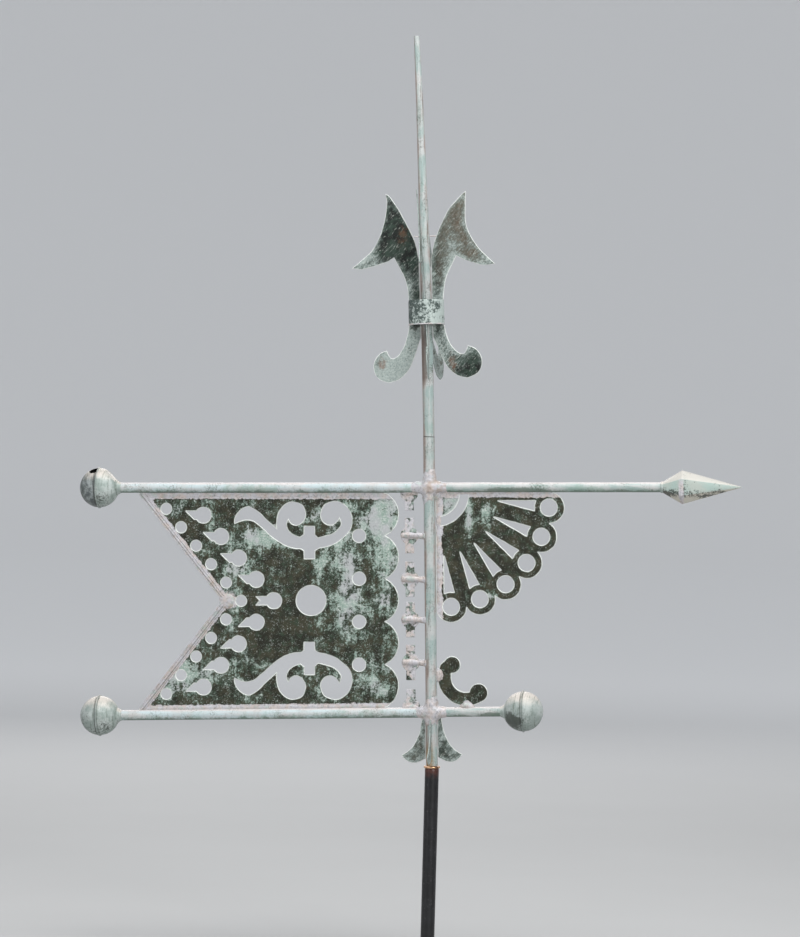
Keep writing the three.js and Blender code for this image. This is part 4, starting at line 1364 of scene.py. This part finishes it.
def necks():
    """Solder and sheet where the arms end in the balls and in the arrowhead."""
    for name, way in (("top_left", -1), ("bottom_left", -1), ("bottom_right", 1)):
        low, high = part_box(f"ball_{name}_inner")
        at, run, radius = on_arm(f"arm_{name}", way, high.x if way < 0 else low.x)
        shapes = []
        for along, extra in ((-5, 7), (-1, 3.6), (4, 1.0)):
            wide = radius + extra * MM
            shapes.append(("ball", at + run * (along * MM), Vector((wide, wide, 7 * MM)), run))
        fused(f"solder_neck_{name}", shapes, 1 * MM, 8, slot="ball_copper", material=ball_copper)
    far, radius = end_ring("arm_top_right", X_AXIS)
    wide = radius + 1.6 * MM
    shapes = [("ball", far, Vector((wide, wide, 6 * MM)), X_AXIS)]
    fused("solder_arrow_neck", shapes, 1 * MM, 4, slot="ball_copper", material=ball_copper)


def dabs():
    """Small lumps on the bracket, the notch's apex, the brace wire, the gusset and the spools."""
    on_wire = brace_left.lerp(brace_right, 0.3)
    for name, centre, size, voxel, slump, rough in (
        ("bracket_side", vane(11, 163), (8, 3.6, 13), 0.8, 5, 0.5),
        ("bracket_foot", vane(64, 106), (14, 6, 9), 0.8, 5, 0.5),
        ("notch_apex", vane(-377, 293.5), (15, 2.8, 14), 0.7, 5, 0.3),
        ("brace_left", on_wire, (3.0, 2.6, 4.4), 0.6, 3, 0.2),
        ("gusset_corner", vane(5, 488), (12, 5, 12), 1, 8, 0.5),
    ):
        fused(f"solder_{name}", [lump(centre, size)], voxel * MM, slump, rough * MM)
    for i in range(1, 5):
        low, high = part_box(f"spool_{i}")
        centre = (low + high) / 2
        arm_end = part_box(f"spool_arm_{i}")[1].x
        fused(f"solder_spool_{i}", [
            lump(centre, (17, 3.8, 7)),
            lump(Vector((arm_end, 0, centre.z)), (3.6, 8, 8)),
            lump(Vector((arm_end - 4 * MM, 0, centre.z)), (5.7, 5.7, 5), X_AXIS, "rod"),
        ], 1 * MM, 4)
    for side in ("top", "bottom"):
        low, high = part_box(f"half_spool_{side}")
        centre = Vector(((low.x + high.x) / 2, 0, high.z if side == "top" else low.z))
        fused(f"solder_half_spool_{side}", [lump(centre, (16, 3.4, 6))], 1 * MM, 4)


crossings()
seams()
necks()
dabs()


# Studio
def stage():
    """A pale floor that rises in one sweep to a pale wall all round."""
    flat, sweep, top, sides = 24.0, 14.0, 15.0, 72
    profile = [(r, 0.0) for r in (0.0, 1.0, 3.0, 7.0, 14.0, flat)]
    for t in np.linspace(0.05, math.pi / 2, 24):
        profile.append((flat + sweep * math.sin(t), sweep * (1 - math.cos(t))))
    profile.append((flat + sweep, top))
    turns = [2 * math.pi * k / sides for k in range(sides)]
    verts = [(r * math.cos(t), r * math.sin(t), z) for r, z in profile for t in turns]
    faces = []
    for ring in range(len(profile) - 1):
        a, b = ring * sides, (ring + 1) * sides
        faces += [(a + k, a + (k + 1) % sides, b + (k + 1) % sides, b + k) for k in range(sides)]
    mesh = bpy.data.meshes.new("floor")
    mesh.from_pydata(verts, [], faces)
    mesh.polygons.foreach_set("use_smooth", [True] * len(mesh.polygons))
    floor = placed("floor", mesh)
    look = Look("studio_pale", 0.9)
    tone = look.mix(look.noise(1.5, 2), (0.42, 0.42, 0.415), (0.45, 0.45, 0.445))
    lit_middle = (0.8, -4.5, 0)
    away = look.node("ShaderNodeVectorMath", "Value", {0: look.place, 1: lit_middle}, operation="DISTANCE")
    tone = look.mix(look.band(away, 6.5, 13.0), tone, (0.86, 0.86, 0.855))
    mesh.materials.append(look.finish(tone))


def area_light(name, place, size, power):
    data = bpy.data.lights.new(name, "AREA")
    data.shape = "RECTANGLE"
    data.size, data.size_y = size
    data.energy = power
    light = placed(name, data)
    light.location = place
    aim = Vector((0, 0, 1))
    light.rotation_euler = (aim - Vector(place)).to_track_quat("-Z", "Y").to_euler()


def lights():
    world = bpy.data.worlds.new("studio")
    bpy.context.scene.world = world
    world.use_nodes = True
    background = world.node_tree.nodes["Background"]
    background.inputs["Color"].default_value = (0.92, 0.95, 1, 1)
    background.inputs["Strength"].default_value = 0.62
    area_light("overhead", (0.4, -0.9, 3.6), (2.6, 1.6), 85)
    area_light("front_right", (3.4, -5.2, 2.6), (2.2, 3.0), 150)
    area_light("front_left", (-4.4, -4.4, 2.0), (1.8, 3.0), 60)
    area_light("behind", (-1.5, 4.0, 3.0), (3.0, 1.6), 60)


def camera():
    data = bpy.data.cameras.new("camera")
    data.sensor_width = SENSOR
    data.lens = FOCAL_PIXELS * SENSOR / max(FRAME_WIDTH, FRAME_HEIGHT)
    cam = placed("camera", data)
    away = Vector((math.sin(VIEW_AZIMUTH), -math.cos(VIEW_AZIMUTH), 0)) * VIEW_DISTANCE
    level = Matrix.Translation(VIEW_TARGET + away) @ Matrix.Rotation(VIEW_AZIMUTH, 4, "Z")
    level = level @ Matrix.Rotation(math.pi / 2, 4, "X")
    cam.matrix_world = Matrix.Translation((0, 0, SEAT)) @ Matrix.Rotation(-VANE_LEAN, 4, "Y") @ level
    bpy.context.scene.camera = cam
    bpy.context.scene.view_settings.view_transform = "Standard"


stage()
lights()
camera()
